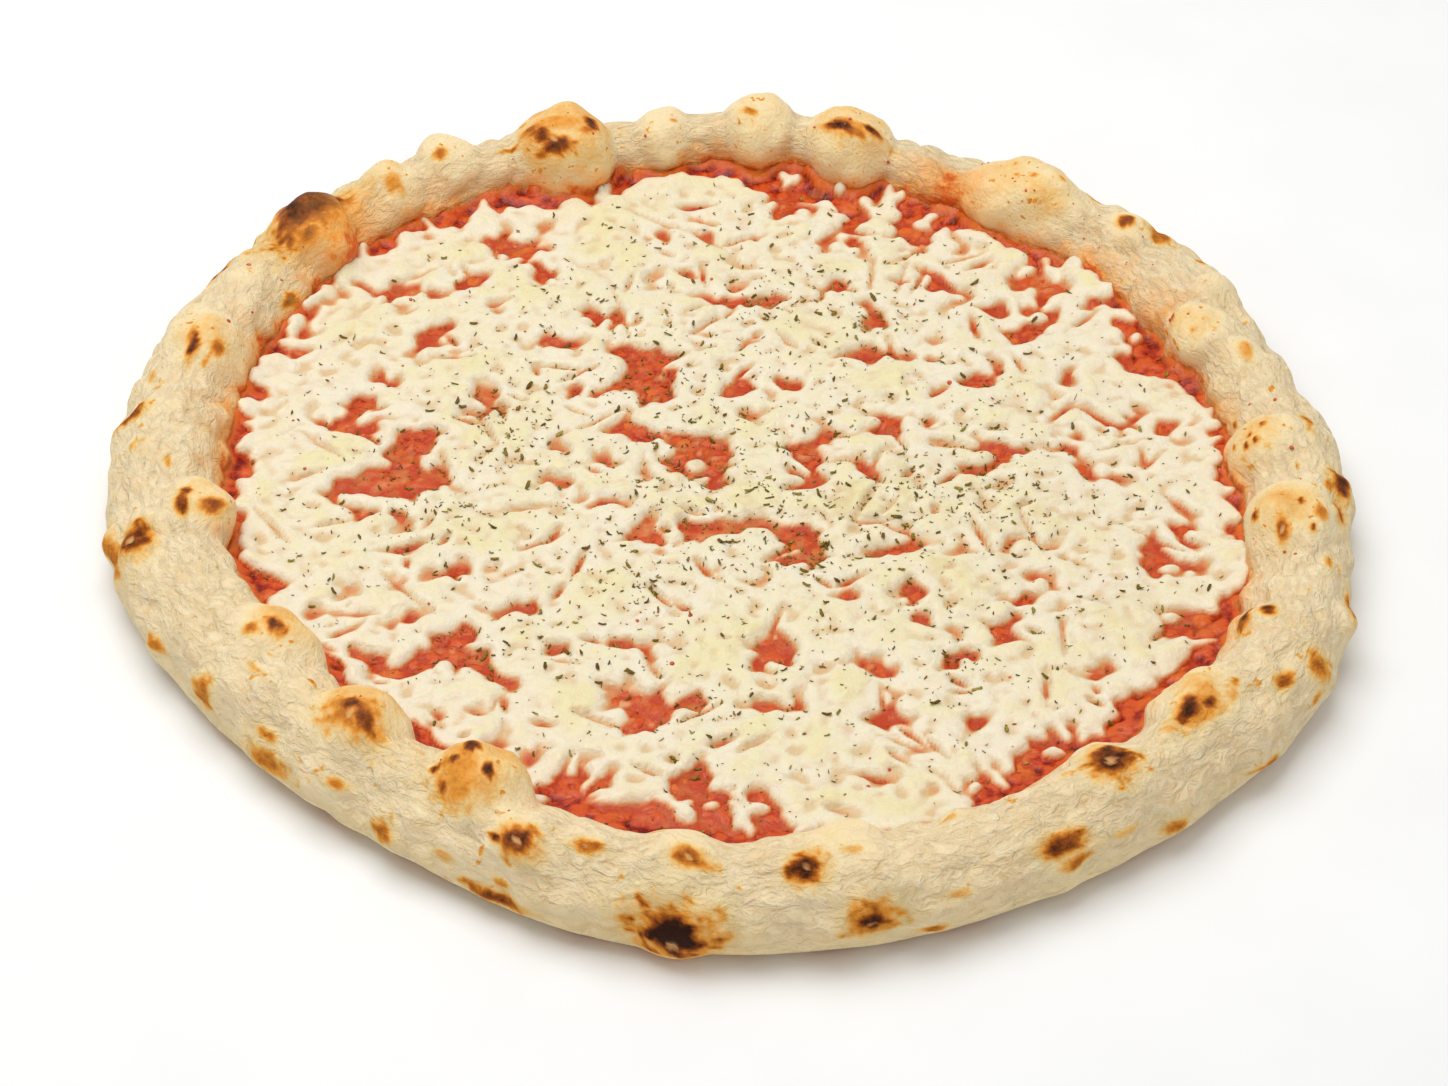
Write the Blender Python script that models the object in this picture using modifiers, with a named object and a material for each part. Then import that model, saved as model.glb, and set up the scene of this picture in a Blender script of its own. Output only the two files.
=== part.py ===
"""Margherita pizza with a puffy, blistered rim: dough, tomato sauce and melted mozzarella.

Metres, +Z up. The pizza lies flat on z = 0 with the middle of its outline at x = y = 0.
Angles run anticlockwise seen from above, from +X. Sizes below are in millimetres.
"""
import math

import bmesh
import bpy
import numpy as np
from mathutils import Matrix, Vector, noise

MM = 0.001

# ---- driving sizes -------------------------------------------------------------------------
GAP = 0.3                   # clearance between layers that rest on each other
RIM_STEPS = 120             # facets round the dough and the sauce, shared to keep them parallel
CHEESE_STEPS = 96           # facets round the cheese
BASE_THICKNESS = 3.0        # flat dough under the sauce
CORE_HEIGHT = 9.0           # height of the line that runs inside the rim
NOMINAL_OUTER = 158.0       # turned blank: outside of the rim
NOMINAL_INNER = 133.0       # turned blank: where the rim meets the sauce
NOMINAL_CREST = 21.0        # turned blank: top of the rim
TOP_ROUNDNESS = 2.15        # exponent of the rim's upper half, 2 is an ellipse
UNDER_ROUNDNESS = 2.6       # exponent of its lower, squarer half
RIM_UNDERCUT = 0.5          # height of the lowest round part above the floor
FOOT_INSET = 4.0            # the flat foot ends this far inside the lowest round part
LOWEST_LEAN = -62.0         # section angle where the round side stops, degrees
WALL_LEAN = 177.0           # section angle where the upright inner wall starts
RIM_POINTS = 17             # points over the rim's section
WELD_RADIUS = 2.0           # how softly a bubble grows out of the rim
LUMP_SIZE = 21.0            # wavelength of the dough's slow unevenness
LUMP_HEIGHT = 0.8

SAUCE_TOP = 5.9
SAUCE_RIPPLE = 0.22
SAUCE_EDGE_ROUND = 1.2
CHEESE_BOTTOM = 6.5
CHEESE_TOP = 8.5
CHEESE_RIPPLE = 0.65
CHEESE_LUMP_SIZE = 11.0
CHEESE_EDGE_DROP = 1.3
CHEESE_MARGIN = 7.0         # mean strip of sauce left bare inside the rim
CHEESE_MARGIN_WAVE = 3.2

# The rim by stations, 15 degrees apart from 0: outer radius, crest height, inner radius.
RIM_STATIONS = (
    (156.5, 21.0, 131.0), (152.0, 19.5, 129.0), (153.5, 19.0, 129.0), (153.0, 18.5, 130.0),
    (149.5, 16.5, 129.0), (150.5, 18.0, 133.0), (153.5, 18.5, 136.0), (153.0, 18.0, 135.0),
    (158.0, 18.5, 139.0), (161.0, 19.0, 141.0), (160.5, 20.0, 138.0), (161.0, 21.0, 134.0),
    (161.5, 21.5, 132.0), (159.5, 22.0, 130.0), (154.5, 22.0, 127.0), (151.5, 21.0, 125.0),
    (151.5, 21.0, 125.0), (157.5, 21.5, 131.0), (160.0, 22.0, 134.0), (160.5, 22.0, 134.0),
    (160.0, 22.0, 134.0), (161.0, 22.0, 135.0), (163.5, 22.0, 137.0), (159.5, 21.5, 133.0),
)

# Bubbles in the rim: angle round the pizza, lean (90 is up, 180 is inwards, 0 is outwards),
# distance of its middle from the rim's core line, radius, and half its length along the rim.
BUBBLES = (
    (0.5, 146.0, 6.5, 11.5, 11.5), (14.5, 100.0, 7.0, 6.5, 7.0), (21.5, 145.0, 6.0, 10.5, 11.0),
    (26.0, 58.0, 6.5, 7.5, 7.0), (40.0, 85.0, 6.5, 7.5, 8.0), (53.0, 125.0, 4.5, 12.5, 22.0),
    (76.0, 112.0, 5.0, 13.0, 13.5), (87.0, 95.0, 5.0, 11.5, 10.5), (98.0, 105.0, 5.0, 9.0, 9.0),
    (110.0, 124.0, 6.0, 14.0, 15.5), (122.5, 80.0, 5.5, 9.0, 9.0), (130.0, 100.0, 5.5, 9.0, 9.0),
    (141.5, 105.0, 5.0, 12.0, 13.0), (153.0, 95.0, 7.0, 6.5, 7.0), (160.5, 60.0, 6.0, 8.0, 7.5),
    (164.5, 110.0, 4.5, 12.5, 15.5), (176.0, 85.0, 6.0, 7.5, 8.0), (190.0, 150.0, 8.5, 10.5, 12.5),
    (195.0, 38.0, 7.0, 7.0, 7.0), (213.0, 145.0, 8.5, 11.5, 14.5), (228.5, 128.0, 6.5, 12.5, 14.5),
    (244.5, 126.0, 7.5, 12.5, 15.0), (250.0, 70.0, 6.5, 9.0, 10.5), (256.5, 88.0, 7.5, 6.5, 6.5),
    (265.5, 104.0, 4.5, 11.0, 12.5), (265.0, -8.0, 6.0, 8.5, 9.5), (279.5, 120.0, 4.5, 12.0, 14.5),
    (298.0, 20.0, 5.5, 9.0, 10.0), (306.5, 112.0, 7.0, 8.0, 8.5), (319.5, 122.0, 5.5, 12.0, 14.5),
    (333.0, 145.0, 7.0, 8.0, 9.0), (347.5, 116.0, 5.0, 12.5, 16.0), (354.0, 30.0, 5.5, 8.5, 9.0),
)

# Gaps melted open in the cheese: x, y, half length, half width, and how far it is turned.
CHEESE_GAPS = (
    (-24.0, 42.0, 15.0, 3.6, 38.0), (-12.0, 11.0, 6.5, 4.6, 0.0), (-84.0, 10.0, 10.0, 6.0, 60.0),
    (-92.0, -11.0, 9.0, 4.6, 15.0), (-68.0, -63.0, 12.0, 4.2, 5.0), (-28.0, -64.0, 9.0, 3.0, 20.0),
    (60.0, 77.0, 8.0, 3.4, -20.0), (78.0, 56.0, 7.0, 3.4, 30.0), (28.0, -47.0, 8.0, 3.2, -50.0),
    (72.0, -48.0, 9.0, 3.0, 60.0), (110.0, -57.0, 7.0, 4.4, 20.0), (13.0, 73.0, 9.0, 3.0, -15.0),
)
GAP_SIDES = 12
GAP_RAGGEDNESS = 0.16


# ---- shape of the rim ----------------------------------------------------------------------
def around(stations, degrees_round):
    """Smooth value between even stations round the pizza (Catmull-Rom, closed)."""
    table = np.asarray(stations, float)
    place = (degrees_round % 360.0) / (360.0 / len(table))
    first = np.floor(place).astype(int)
    t = (place - first)[..., None]
    a, b, c, d = (table[(first + shift) % len(table)] for shift in (-1, 0, 1, 2))
    return 0.5 * (2 * b + (c - a) * t + (2 * a - 5 * b + 4 * c - d) * t ** 2
                  + (3 * b - a - 3 * c + d) * t ** 3)


def soft_union(reach, other, radius):
    """The larger of two reaches, with the crease between them rounded."""
    overlap = np.maximum(radius - np.abs(reach - other), 0.0) / radius
    return np.maximum(reach, other) + overlap ** 2 * radius / 4.0


def bubble_reach(bubble, degrees_round, lean, core_radius):
    """How far out one bubble reaches from the core line, or 0 where it doesn't."""
    angle, bubble_lean, offset, radius, half_length = bubble
    turned = (degrees_round - angle + 180.0) % 360.0 - 180.0
    along = np.radians(turned) * core_radius / half_length
    section = radius ** 2 * np.clip(1.0 - along ** 2, 0.0, None)
    toward = offset * np.cos(lean - math.radians(bubble_lean))
    inside = toward ** 2 - offset ** 2 + section
    reach = toward + np.sqrt(np.clip(inside, 0.0, None))
    return np.where((inside > 0.0) & (section > 0.0), reach, 0.0)


def rim_surface(degrees_round, lean):
    """Radius and height of the rim's skin at a place round the pizza and a section angle."""
    outer, crest, inner = np.moveaxis(around(RIM_STATIONS, degrees_round), -1, 0)
    core_radius = (outer + inner) / 2.0
    half_width = (outer - inner) / 2.0
    upper = np.sin(lean) > 0.0
    half_height = np.where(upper, crest - CORE_HEIGHT, CORE_HEIGHT - RIM_UNDERCUT)
    power = np.where(upper, TOP_ROUNDNESS, UNDER_ROUNDNESS)
    reach = ((np.abs(np.cos(lean)) / half_width) ** power
             + (np.abs(np.sin(lean)) / half_height) ** power) ** (-1.0 / power)
    for bubble in BUBBLES:
        reach = soft_union(reach, bubble_reach(bubble, degrees_round, lean, core_radius), WELD_RADIUS)
    radius = core_radius + reach * np.cos(lean)
    height = np.maximum(CORE_HEIGHT + reach * np.sin(lean), RIM_UNDERCUT)
    return radius, height


def inner_wall(degrees_round):
    """Radius of the upright wall that the sauce fills up to."""
    return rim_surface(degrees_round, np.full_like(degrees_round, math.radians(WALL_LEAN)))[0]


def foot_radius(degrees_round):
    """Outer edge of the flat underside."""
    lean = np.full_like(degrees_round, math.radians(LOWEST_LEAN))
    return rim_surface(degrees_round, lean)[0] - FOOT_INSET


def unevenness(points, size):
    """Slow random waves between -1 and 1, the same each run."""
    return np.array([noise.noise(Vector(point) / size) for point in points])


# ---- building blocks -----------------------------------------------------------------------
def clear_scene():
    for item in list(bpy.data.objects):
        bpy.data.objects.remove(item, do_unlink=True)


def named_collection(name):
    collection = bpy.data.collections.new(name)
    bpy.context.scene.collection.children.link(collection)
    return collection


def finish(name, color, roughness):
    material = bpy.data.materials.new(name)
    material.use_nodes = True
    shader = material.node_tree.nodes["Principled BSDF"]
    shader.inputs["Base Color"].default_value = (*color, 1.0)
    shader.inputs["Roughness"].default_value = roughness
    shader.inputs["Metallic"].default_value = 0.0
    return material


def turned_blank(name, profile, steps):
    """A round solid turned from a profile in millimetres, from its top centre to its bottom."""
    outline = bpy.data.meshes.new(name + "_profile")
    corners = [(radius * MM, 0.0, height * MM) for radius, height in profile]
    edges = [(i, i + 1) for i in range(len(corners) - 1)]
    outline.from_pydata(corners, edges, [])
    lathe = bpy.data.objects.new(name + "_lathe", outline)
    bpy.context.scene.collection.objects.link(lathe)
    screw = lathe.modifiers.new("turn", "SCREW")
    screw.axis = "Z"
    screw.angle = math.tau
    screw.screw_offset = 0.0
    screw.steps = steps
    screw.render_steps = steps
    screw.use_merge_vertices = True
    screw.merge_threshold = 0.0001
    bpy.context.view_layer.update()
    evaluated = lathe.evaluated_get(bpy.context.evaluated_depsgraph_get())
    mesh = bpy.data.meshes.new_from_object(evaluated)
    mesh.name = name
    bpy.data.objects.remove(lathe, do_unlink=True)
    return mesh


def read_points(mesh):
    """Radius, height and angle of every vertex, in millimetres and degrees."""
    points = np.empty(len(mesh.vertices) * 3)
    mesh.vertices.foreach_get("co", points)
    points = points.reshape(-1, 3) / MM
    radius = np.hypot(points[:, 0], points[:, 1])
    degrees_round = np.degrees(np.arctan2(points[:, 1], points[:, 0]))
    return radius, points[:, 2].copy(), degrees_round


def write_points(mesh, radius, height, degrees_round):
    angle = np.radians(degrees_round)
    points = np.stack([radius * np.cos(angle), radius * np.sin(angle), height], axis=-1) * MM
    mesh.vertices.foreach_set("co", points.ravel())
    mesh.update()


def place(mesh, collection, material):
    item = bpy.data.objects.new(mesh.name, mesh)
    collection.objects.link(item)
    mesh.materials.append(material)
    mesh.shade_smooth()
    mesh.set_sharp_from_angle(angle=math.radians(50.0))


# ---- the pieces ----------------------------------------------------------------------------
def crust_mesh():
    """Dough: a flat base that swells into the rim, turned as a blank and then made uneven."""
    middle = (NOMINAL_OUTER + NOMINAL_INNER) / 2.0
    half_width = (NOMINAL_OUTER - NOMINAL_INNER) / 2.0
    half_height = NOMINAL_CREST - CORE_HEIGHT
    leans = np.radians(np.linspace(WALL_LEAN, LOWEST_LEAN, RIM_POINTS))
    rim = [(middle + half_width * math.cos(lean), CORE_HEIGHT + half_height * math.sin(lean))
           for lean in leans]
    rim = [(radius, max(height, RIM_UNDERCUT)) for radius, height in rim]
    nominal_foot = rim[-1][0] - FOOT_INSET
    floor = [(NOMINAL_INNER * part, BASE_THICKNESS) for part in (0.0, 0.4, 0.75, 1.0)]
    under = [(nominal_foot * part, 0.0) for part in (1.0, 0.75, 0.4, 0.0)]
    mesh = turned_blank("crust", floor + rim + under, RIM_STEPS)

    radius, height, degrees_round = read_points(mesh)
    lean = np.arctan2(height - CORE_HEIGHT, radius - middle)
    lean = np.where(lean < math.radians(LOWEST_LEAN - 5.0), lean + math.tau, lean)
    on_rim = (height > BASE_THICKNESS + 0.01) | ((height > 0.01) & (radius > middle))
    rim_radius, rim_height = rim_surface(degrees_round, lean)
    on_floor = ~on_rim & (height > 0.01)
    floor_radius = radius * inner_wall(degrees_round) / NOMINAL_INNER
    under_radius = radius * foot_radius(degrees_round) / nominal_foot
    new_radius = np.where(on_rim, rim_radius, np.where(on_floor, floor_radius, under_radius))
    new_height = np.where(on_rim, rim_height, height)

    angle = np.radians(degrees_round)
    spots = np.stack([new_radius * np.cos(angle), new_radius * np.sin(angle), new_height], axis=-1)
    puffed = on_rim & (new_height > CORE_HEIGHT + 1.0)
    swelling = unevenness(spots, LUMP_SIZE) * LUMP_HEIGHT * puffed
    new_radius = new_radius + swelling * np.cos(lean)
    new_height = new_height + swelling * np.sin(lean)
    write_points(mesh, new_radius, new_height, degrees_round)
    return mesh


def sauce_mesh():
    """Tomato sauce: a thin layer that fills the crust's floor up to the rim."""
    edge = NOMINAL_INNER - GAP
    top = [(edge * part, SAUCE_TOP) for part in (0.0, 0.35, 0.7, 0.9)]
    side = [(edge, SAUCE_TOP - SAUCE_EDGE_ROUND), (edge, BASE_THICKNESS + GAP)]
    bottom = [(edge * 0.5, BASE_THICKNESS + GAP), (0.0, BASE_THICKNESS + GAP)]
    mesh = turned_blank("tomato_sauce", top + side + bottom, RIM_STEPS)

    radius, height, degrees_round = read_points(mesh)
    new_radius = radius / edge * (inner_wall(degrees_round) - GAP)
    angle = np.radians(degrees_round)
    spots = np.stack([new_radius * np.cos(angle), new_radius * np.sin(angle), height], axis=-1)
    rippled = height > SAUCE_TOP - 0.01
    new_height = height + rippled * SAUCE_RIPPLE * unevenness(spots, CHEESE_LUMP_SIZE)
    write_points(mesh, new_radius, new_height, degrees_round)
    return mesh


def cheese_edge(degrees_round):
    """Ragged outline of the cheese, inside the rim."""
    angle = np.radians(degrees_round)
    wave = np.sin(5 * angle + 0.6) + 0.7 * np.sin(13 * angle + 2.0) + 0.5 * np.sin(23 * angle + 4.1)
    return inner_wall(degrees_round) - CHEESE_MARGIN + CHEESE_MARGIN_WAVE * wave / 2.2


def cheese_mesh():
    """Melted mozzarella: one lumpy layer on the sauce."""
    parts = (0.0, 0.12, 0.25, 0.38, 0.5, 0.61, 0.71, 0.8, 0.88, 0.95)
    edge = NOMINAL_INNER - CHEESE_MARGIN
    top = [(edge * part, CHEESE_TOP) for part in parts]
    side = [(edge, CHEESE_TOP - CHEESE_EDGE_DROP), (edge * 0.985, CHEESE_BOTTOM)]
    bottom = [(edge * 0.5, CHEESE_BOTTOM), (0.0, CHEESE_BOTTOM)]
    mesh = turned_blank("mozzarella", top + side + bottom, CHEESE_STEPS)

    radius, height, degrees_round = read_points(mesh)
    new_radius = radius / edge * cheese_edge(degrees_round)
    angle = np.radians(degrees_round)
    spots = np.stack([new_radius * np.cos(angle), new_radius * np.sin(angle), height], axis=-1)
    rippled = height > CHEESE_TOP - 0.01
    new_height = height + rippled * CHEESE_RIPPLE * unevenness(spots, CHEESE_LUMP_SIZE)
    write_points(mesh, new_radius, new_height, degrees_round)
    return mesh


def gap_cutter(collection, shift):
    """Upright ragged plugs that cut the gaps where sauce shows through the cheese."""
    plugs = bmesh.new()
    height = (CHEESE_TOP - CHEESE_BOTTOM) * 3.0
    middle = (CHEESE_TOP + CHEESE_BOTTOM) / 2.0
    for x, y, half_length, half_width, turn in CHEESE_GAPS:
        plug = bmesh.ops.create_cone(plugs, cap_ends=True, segments=GAP_SIDES,
                                     radius1=1.0, radius2=1.0, depth=height)
        cosine = math.cos(math.radians(turn))
        sine = math.sin(math.radians(turn))
        for vertex in plug["verts"]:
            bearing = math.atan2(vertex.co.y, vertex.co.x)
            ragged = 1.0 + GAP_RAGGEDNESS * math.sin(3.0 * bearing + x) * math.sin(2.0 * bearing + y)
            along = vertex.co.x * half_length * ragged
            across = vertex.co.y * half_width * ragged
            vertex.co = ((x + along * cosine - across * sine) * MM,
                         (y + along * sine + across * cosine) * MM,
                         (vertex.co.z + middle) * MM)
    mesh = bpy.data.meshes.new("cheese_gaps")
    plugs.to_mesh(mesh)
    plugs.free()
    mesh.transform(shift)
    cutter = bpy.data.objects.new("cheese_gaps", mesh)
    collection.objects.link(cutter)
    cutter.hide_render = True
    cutter.display_type = "WIRE"
    return cutter


def outline_middle(mesh):
    corners = np.empty(len(mesh.vertices) * 3)
    mesh.vertices.foreach_get("co", corners)
    corners = corners.reshape(-1, 3)
    return (corners.min(axis=0) + corners.max(axis=0)) / 2.0


def main():
    clear_scene()
    pizza = named_collection("margherita_pizza")
    cutters = named_collection("cutters")

    dough = finish("baked_dough", (0.80, 0.63, 0.38), 0.75)
    tomato = finish("tomato_sauce", (0.52, 0.07, 0.02), 0.35)
    cheese = finish("melted_mozzarella", (0.88, 0.80, 0.58), 0.40)

    crust = crust_mesh()
    middle = outline_middle(crust)
    shift = Matrix.Translation((-middle[0], -middle[1], 0.0))
    topping = cheese_mesh()
    for mesh, material in ((crust, dough), (sauce_mesh(), tomato), (topping, cheese)):
        mesh.transform(shift)
        place(mesh, pizza, material)
    opened = bpy.data.objects[topping.name].modifiers.new("gaps", "BOOLEAN")
    opened.operation = "DIFFERENCE"
    opened.object = gap_cutter(cutters, shift)


main()
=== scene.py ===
"""Margherita pizza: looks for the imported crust, tomato sauce and mozzarella, laid out as an add-on."""
import functools
import math
import random

import bpy
import numpy as np
from bpy.props import FloatProperty, FloatVectorProperty, IntProperty, PointerProperty
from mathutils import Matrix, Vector, noise


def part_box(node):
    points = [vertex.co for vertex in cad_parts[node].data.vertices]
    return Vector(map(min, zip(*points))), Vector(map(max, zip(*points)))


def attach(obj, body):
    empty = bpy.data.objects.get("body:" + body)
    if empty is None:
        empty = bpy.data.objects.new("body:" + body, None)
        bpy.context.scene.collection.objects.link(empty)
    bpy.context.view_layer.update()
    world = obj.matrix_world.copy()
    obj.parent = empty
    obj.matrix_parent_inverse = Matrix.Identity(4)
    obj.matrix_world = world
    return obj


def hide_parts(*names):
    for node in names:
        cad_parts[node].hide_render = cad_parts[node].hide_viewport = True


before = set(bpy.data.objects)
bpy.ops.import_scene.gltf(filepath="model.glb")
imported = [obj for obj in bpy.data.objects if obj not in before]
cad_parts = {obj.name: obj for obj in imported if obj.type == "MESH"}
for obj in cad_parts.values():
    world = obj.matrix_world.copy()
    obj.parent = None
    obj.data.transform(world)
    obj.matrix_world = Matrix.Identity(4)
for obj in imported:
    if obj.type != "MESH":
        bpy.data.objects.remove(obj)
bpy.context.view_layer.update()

bl_info = {
    "name": "Margherita pizza",
    "version": (1, 0, 0),
    "blender": (4, 5, 0),
    "location": "View3D > Sidebar > Pizza",
    "description": "Builds a stone-baked pizza with a blistered rim, tomato sauce, mozzarella and herbs",
    "category": "Add Mesh",
}

# Lengths in the tables and functions below are millimetres in the dough ring's own frame: +Z up,
# angles anticlockwise from +X. A lean is the direction in the rim's section: 0 points outwards,
# 90 up and 180 inwards. placed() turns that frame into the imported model's, in metres.
MM = 0.001
BODY = "root"

# ---- dough ---------------------------------------------------------------------------------
RIM_SEGMENTS = 900          # a point every 1.1 mm round the rim
SECTION_RINGS = 78          # a point every 0.9 mm over its section
BASE_THICKNESS = 3.0
CORE_HEIGHT = 9.0           # height of the line that runs inside the rim
TOP_ROUNDNESS = 2.15
INNER_ROUNDNESS = 1.75      # a gentler fall towards the sauce
UNDER_ROUNDNESS = 2.6
RIM_UNDERCUT = 0.5
FOOT_INSET = 4.0
LOWEST_LEAN = -62.0
WALL_LEAN = 177.0
WELD_RADIUS = 2.6           # softness of the crease where a bubble grows out of the rim
LUMP_SIZE = 21.0
LUMP_HEIGHT = 1.3
FLOOR_PARTS = (0.35, 0.7, 0.9, 0.985)
FINISHES = ("flour", "baked", "oil", "torn", "across")
FOOT_PARTS = (1.0, 0.985, 0.93, 0.84, 0.74, 0.63, 0.52, 0.4, 0.28, 0.14)

# Outer radius, crest height and inner radius, every 15 degrees from 0.
RIM_STATIONS = (
    (156.5, 21.0, 131.0), (152.0, 19.5, 129.0), (153.5, 19.0, 129.0), (153.0, 18.5, 130.0),
    (149.5, 16.5, 129.0), (150.5, 18.0, 133.0), (153.5, 18.5, 136.0), (153.0, 18.0, 135.0),
    (158.0, 18.5, 139.0), (161.0, 19.0, 141.0), (160.5, 20.0, 138.0), (161.0, 21.0, 134.0),
    (161.5, 21.5, 132.0), (159.5, 22.0, 130.0), (154.5, 22.0, 127.0), (151.5, 21.0, 125.0),
    (151.5, 21.0, 125.0), (157.5, 21.5, 131.0), (160.0, 22.0, 134.0), (160.5, 22.0, 134.0),
    (160.0, 22.0, 134.0), (161.0, 22.0, 135.0), (163.5, 22.0, 137.0), (159.5, 21.5, 133.0),
)

# Bubbles: angle, lean, distance of the middle from the core line, radius, half length, gold.
BUBBLES = (
    (0.5, 146, 6.5, 11.5, 11.5, 0.8), (14.5, 100, 7, 6.5, 7, 0.3), (21.5, 145, 6, 10.5, 11, 0.75),
    (26, 58, 6.5, 7.5, 7, 0.2), (40, 85, 6.5, 7.5, 8, 0.3), (53, 125, 4.5, 12.5, 22, 0.65),
    (76, 112, 5, 13, 13.5, 0.7), (87, 95, 5, 11.5, 10.5, 0.5), (98, 105, 5, 9, 9, 0.1),
    (110, 124, 6, 14, 15.5, 0.9), (122.5, 80, 5.5, 9, 9, 0.2), (130, 100, 5.5, 9, 9, 0.6),
    (141.5, 105, 5, 12, 13, 0.9), (153, 95, 7, 6.5, 7, 0.2), (160.5, 60, 6, 8, 7.5, 0.3),
    (164.5, 110, 4.5, 12.5, 15.5, 0.8), (176, 85, 6, 7.5, 8, 0.5),
    (190, 150, 8.5, 10.5, 12.5, 0.9), (195, 38, 7, 7, 7, 0.4), (213, 145, 8.5, 11.5, 14.5, 0.8),
    (228.5, 128, 6.5, 12.5, 14.5, 0.8), (244.5, 126, 7.5, 12.5, 15, 1.0),
    (250, 70, 6.5, 9, 10.5, 0.6), (256.5, 88, 7.5, 6.5, 6.5, 0.5),
    (265.5, 104, 4.5, 11, 12.5, 0.4), (265, -8, 6, 8.5, 9.5, 0.5), (279.5, 120, 4.5, 12, 14.5, 0.7),
    (298, 20, 5.5, 9, 10, 0.2), (306.5, 112, 7, 8, 8.5, 0.3), (319.5, 122, 5.5, 12, 14.5, 0.8),
    (333, 145, 7, 8, 9, 0.6), (347.5, 116, 5, 12.5, 16, 0.9), (354, 30, 5.5, 8.5, 9, 0.7),
)

# Browned marks: angle, lean, width round the rim and over its section in degrees, how dark.
MARKS = (
    (6, 160, 0.8, 6, 0.85), (0, 134, 0.9, 6, 0.85), (1, 120, 0.9, 6, 0.85), (359, 140, 0.8, 6, 0.8),
    (359, 130, 0.9, 6, 0.85), (0, 152, 0.8, 5, 0.8), (2, 72, 3, 12, 0.6), (14, 98, 2.5, 15, 0.4),
    (24, 142, 1, 5, 0.8), (20, 132, 1, 5, 0.6), (21, 156, 0.8, 4, 0.75), (24, 162, 0.8, 4, 0.75),
    (31, 50, 1.5, 8, 0.65), (40, 92, 1.5, 15, 0.8), (37, 56, 3, 30, 0.6), (77, 116, 4.5, 9, 0.95),
    (75, 120, 4, 9, 0.6), (73, 110, 2.5, 9, 0.95), (76, 114, 8, 24, 0.5), (88, 108, 1.5, 10, 0.55),
    (52, 104, 1.2, 6, 0.55), (49, 94, 1, 5, 0.55), (54, 108, 1, 5, 0.55), (112, 130, 3.5, 14, 0.9),
    (113, 118, 2, 18, 0.8), (107, 112, 1.5, 20, 0.9), (114, 104, 2, 8, 0.65),
    (116, 110, 2, 10, 0.6), (103, 92, 1, 5, 0.55), (108, 120, 2.5, 10, 0.6), (111, 108, 9, 26, 0.42),
    (131, 114, 2, 30, 0.45), (124, 98, 1.5, 15, 0.6), (97, 110, 1, 5, 0.5),
    (144, 116, 2.5, 14, 0.8), (140, 118, 1.8, 10, 0.7), (141, 88, 11, 66, 0.9),
    (143, 100, 5, 20, 0.8), (138, 96, 3, 22, 0.8), (151, 160, 2, 12, 0.95), (166, 120, 2, 15, 0.6),
    (168, 114, 1, 6, 0.55), (167, 96, 3, 10, 0.85), (166, 92, 2.5, 8, 0.6), (172, 66, 1, 8, 0.4),
    (176, 46, 2, 40, 0.75), (170, 52, 2, 15, 0.4), (152, 92, 1, 8, 0.4), (192, 132, 2, 20, 0.7),
    (190, 114, 1.5, 10, 0.85), (192, 108, 2, 10, 0.8), (184, 102, 2, 8, 0.45), (181, 64, 2, 15, 0.35),
    (195, 52, 3.5, 35, 0.85), (194, 22, 6, 25, 0.55), (214, 114, 2.5, 12, 0.9),
    (213, 100, 2, 12, 0.6), (217, 78, 3, 12, 0.35), (222, 110, 1.2, 6, 0.6), (223, 32, 2, 10, 0.6),
    (224, 8, 5, 25, 0.55), (214, 18, 2.5, 35, 0.55), (206, 16, 2.5, 12, 0.55),
    (229, 96, 2.4, 15, 0.9), (231.5, 92, 2.4, 18, 0.85), (230, 92, 8, 36, 0.55),
    (242, 98, 1.3, 9, 0.95), (240, 92, 1.2, 8, 0.9), (242, 78, 1.2, 9, 0.85),
    (246, 98, 1.4, 10, 0.95), (243, 112, 2, 8, 0.95), (243, 90, 7, 50, 0.45),
    (251, 62, 3, 25, 0.9), (252, 76, 2, 10, 0.55), (249, 58, 1.5, 8, 0.9), (257, 82, 2.5, 14, 0.65),
    (266, 84, 3, 18, 0.65), (265, 9, 5, 45, 1.15), (265, 8, 7.5, 64, 0.6), (250, 14, 1.5, 10, 0.55),
    (244, 16, 3, 12, 0.35), (238, 10, 2.5, 20, 0.55), (232, 30, 2, 12, 0.55), (250, -4, 5, 14, 0.8),
    (276, 76, 2.5, 25, 0.95), (280, 86, 2, 10, 0.35), (281, 20, 2.5, 20, 0.95),
    (281, 20, 4.5, 38, 0.55), (290, 112, 2, 10, 0.35), (288, 28, 3, 10, 0.35),
    (286, -6, 2.5, 12, 0.6), (298, 42, 3.5, 20, 0.8), (299, 20, 3, 15, 0.6), (306, 94, 3.5, 35, 0.9),
    (302, 108, 1.5, 8, 0.35), (309, 4, 2.5, 20, 0.55), (304, 28, 3, 10, 0.35),
    (316, 97, 3, 18, 0.9), (318, 89, 1.5, 10, 0.9), (322, 90, 1, 6, 0.55), (317, 90, 7, 34, 0.45),
    (326, 58, 2, 16, 0.7), (332, 136, 2.5, 15, 0.9), (333, 114, 1.5, 14, 0.9), (330, 38, 2.5, 30, 0.6),
    (328, 16, 2, 12, 0.45), (320, 0, 3.5, 8, 0.55), (339, 26, 4, 12, 0.6), (342, 62, 2, 10, 0.55),
    (342, 46, 2, 10, 0.35), (344, 112, 2.5, 12, 0.65), (346, 134, 1.2, 8, 0.9),
    (348, 96, 1.2, 6, 0.9), (347, 78, 1.8, 14, 0.55), (345, 84, 1, 6, 0.85), (350, 48, 2.5, 18, 0.8),
    (354, 46, 3.5, 25, 0.85), (353, 62, 2, 12, 0.55), (358, 150, 1, 6, 0.35), (358, 122, 1, 6, 0.35),
    (356, 96, 1, 6, 0.55),
)

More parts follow.
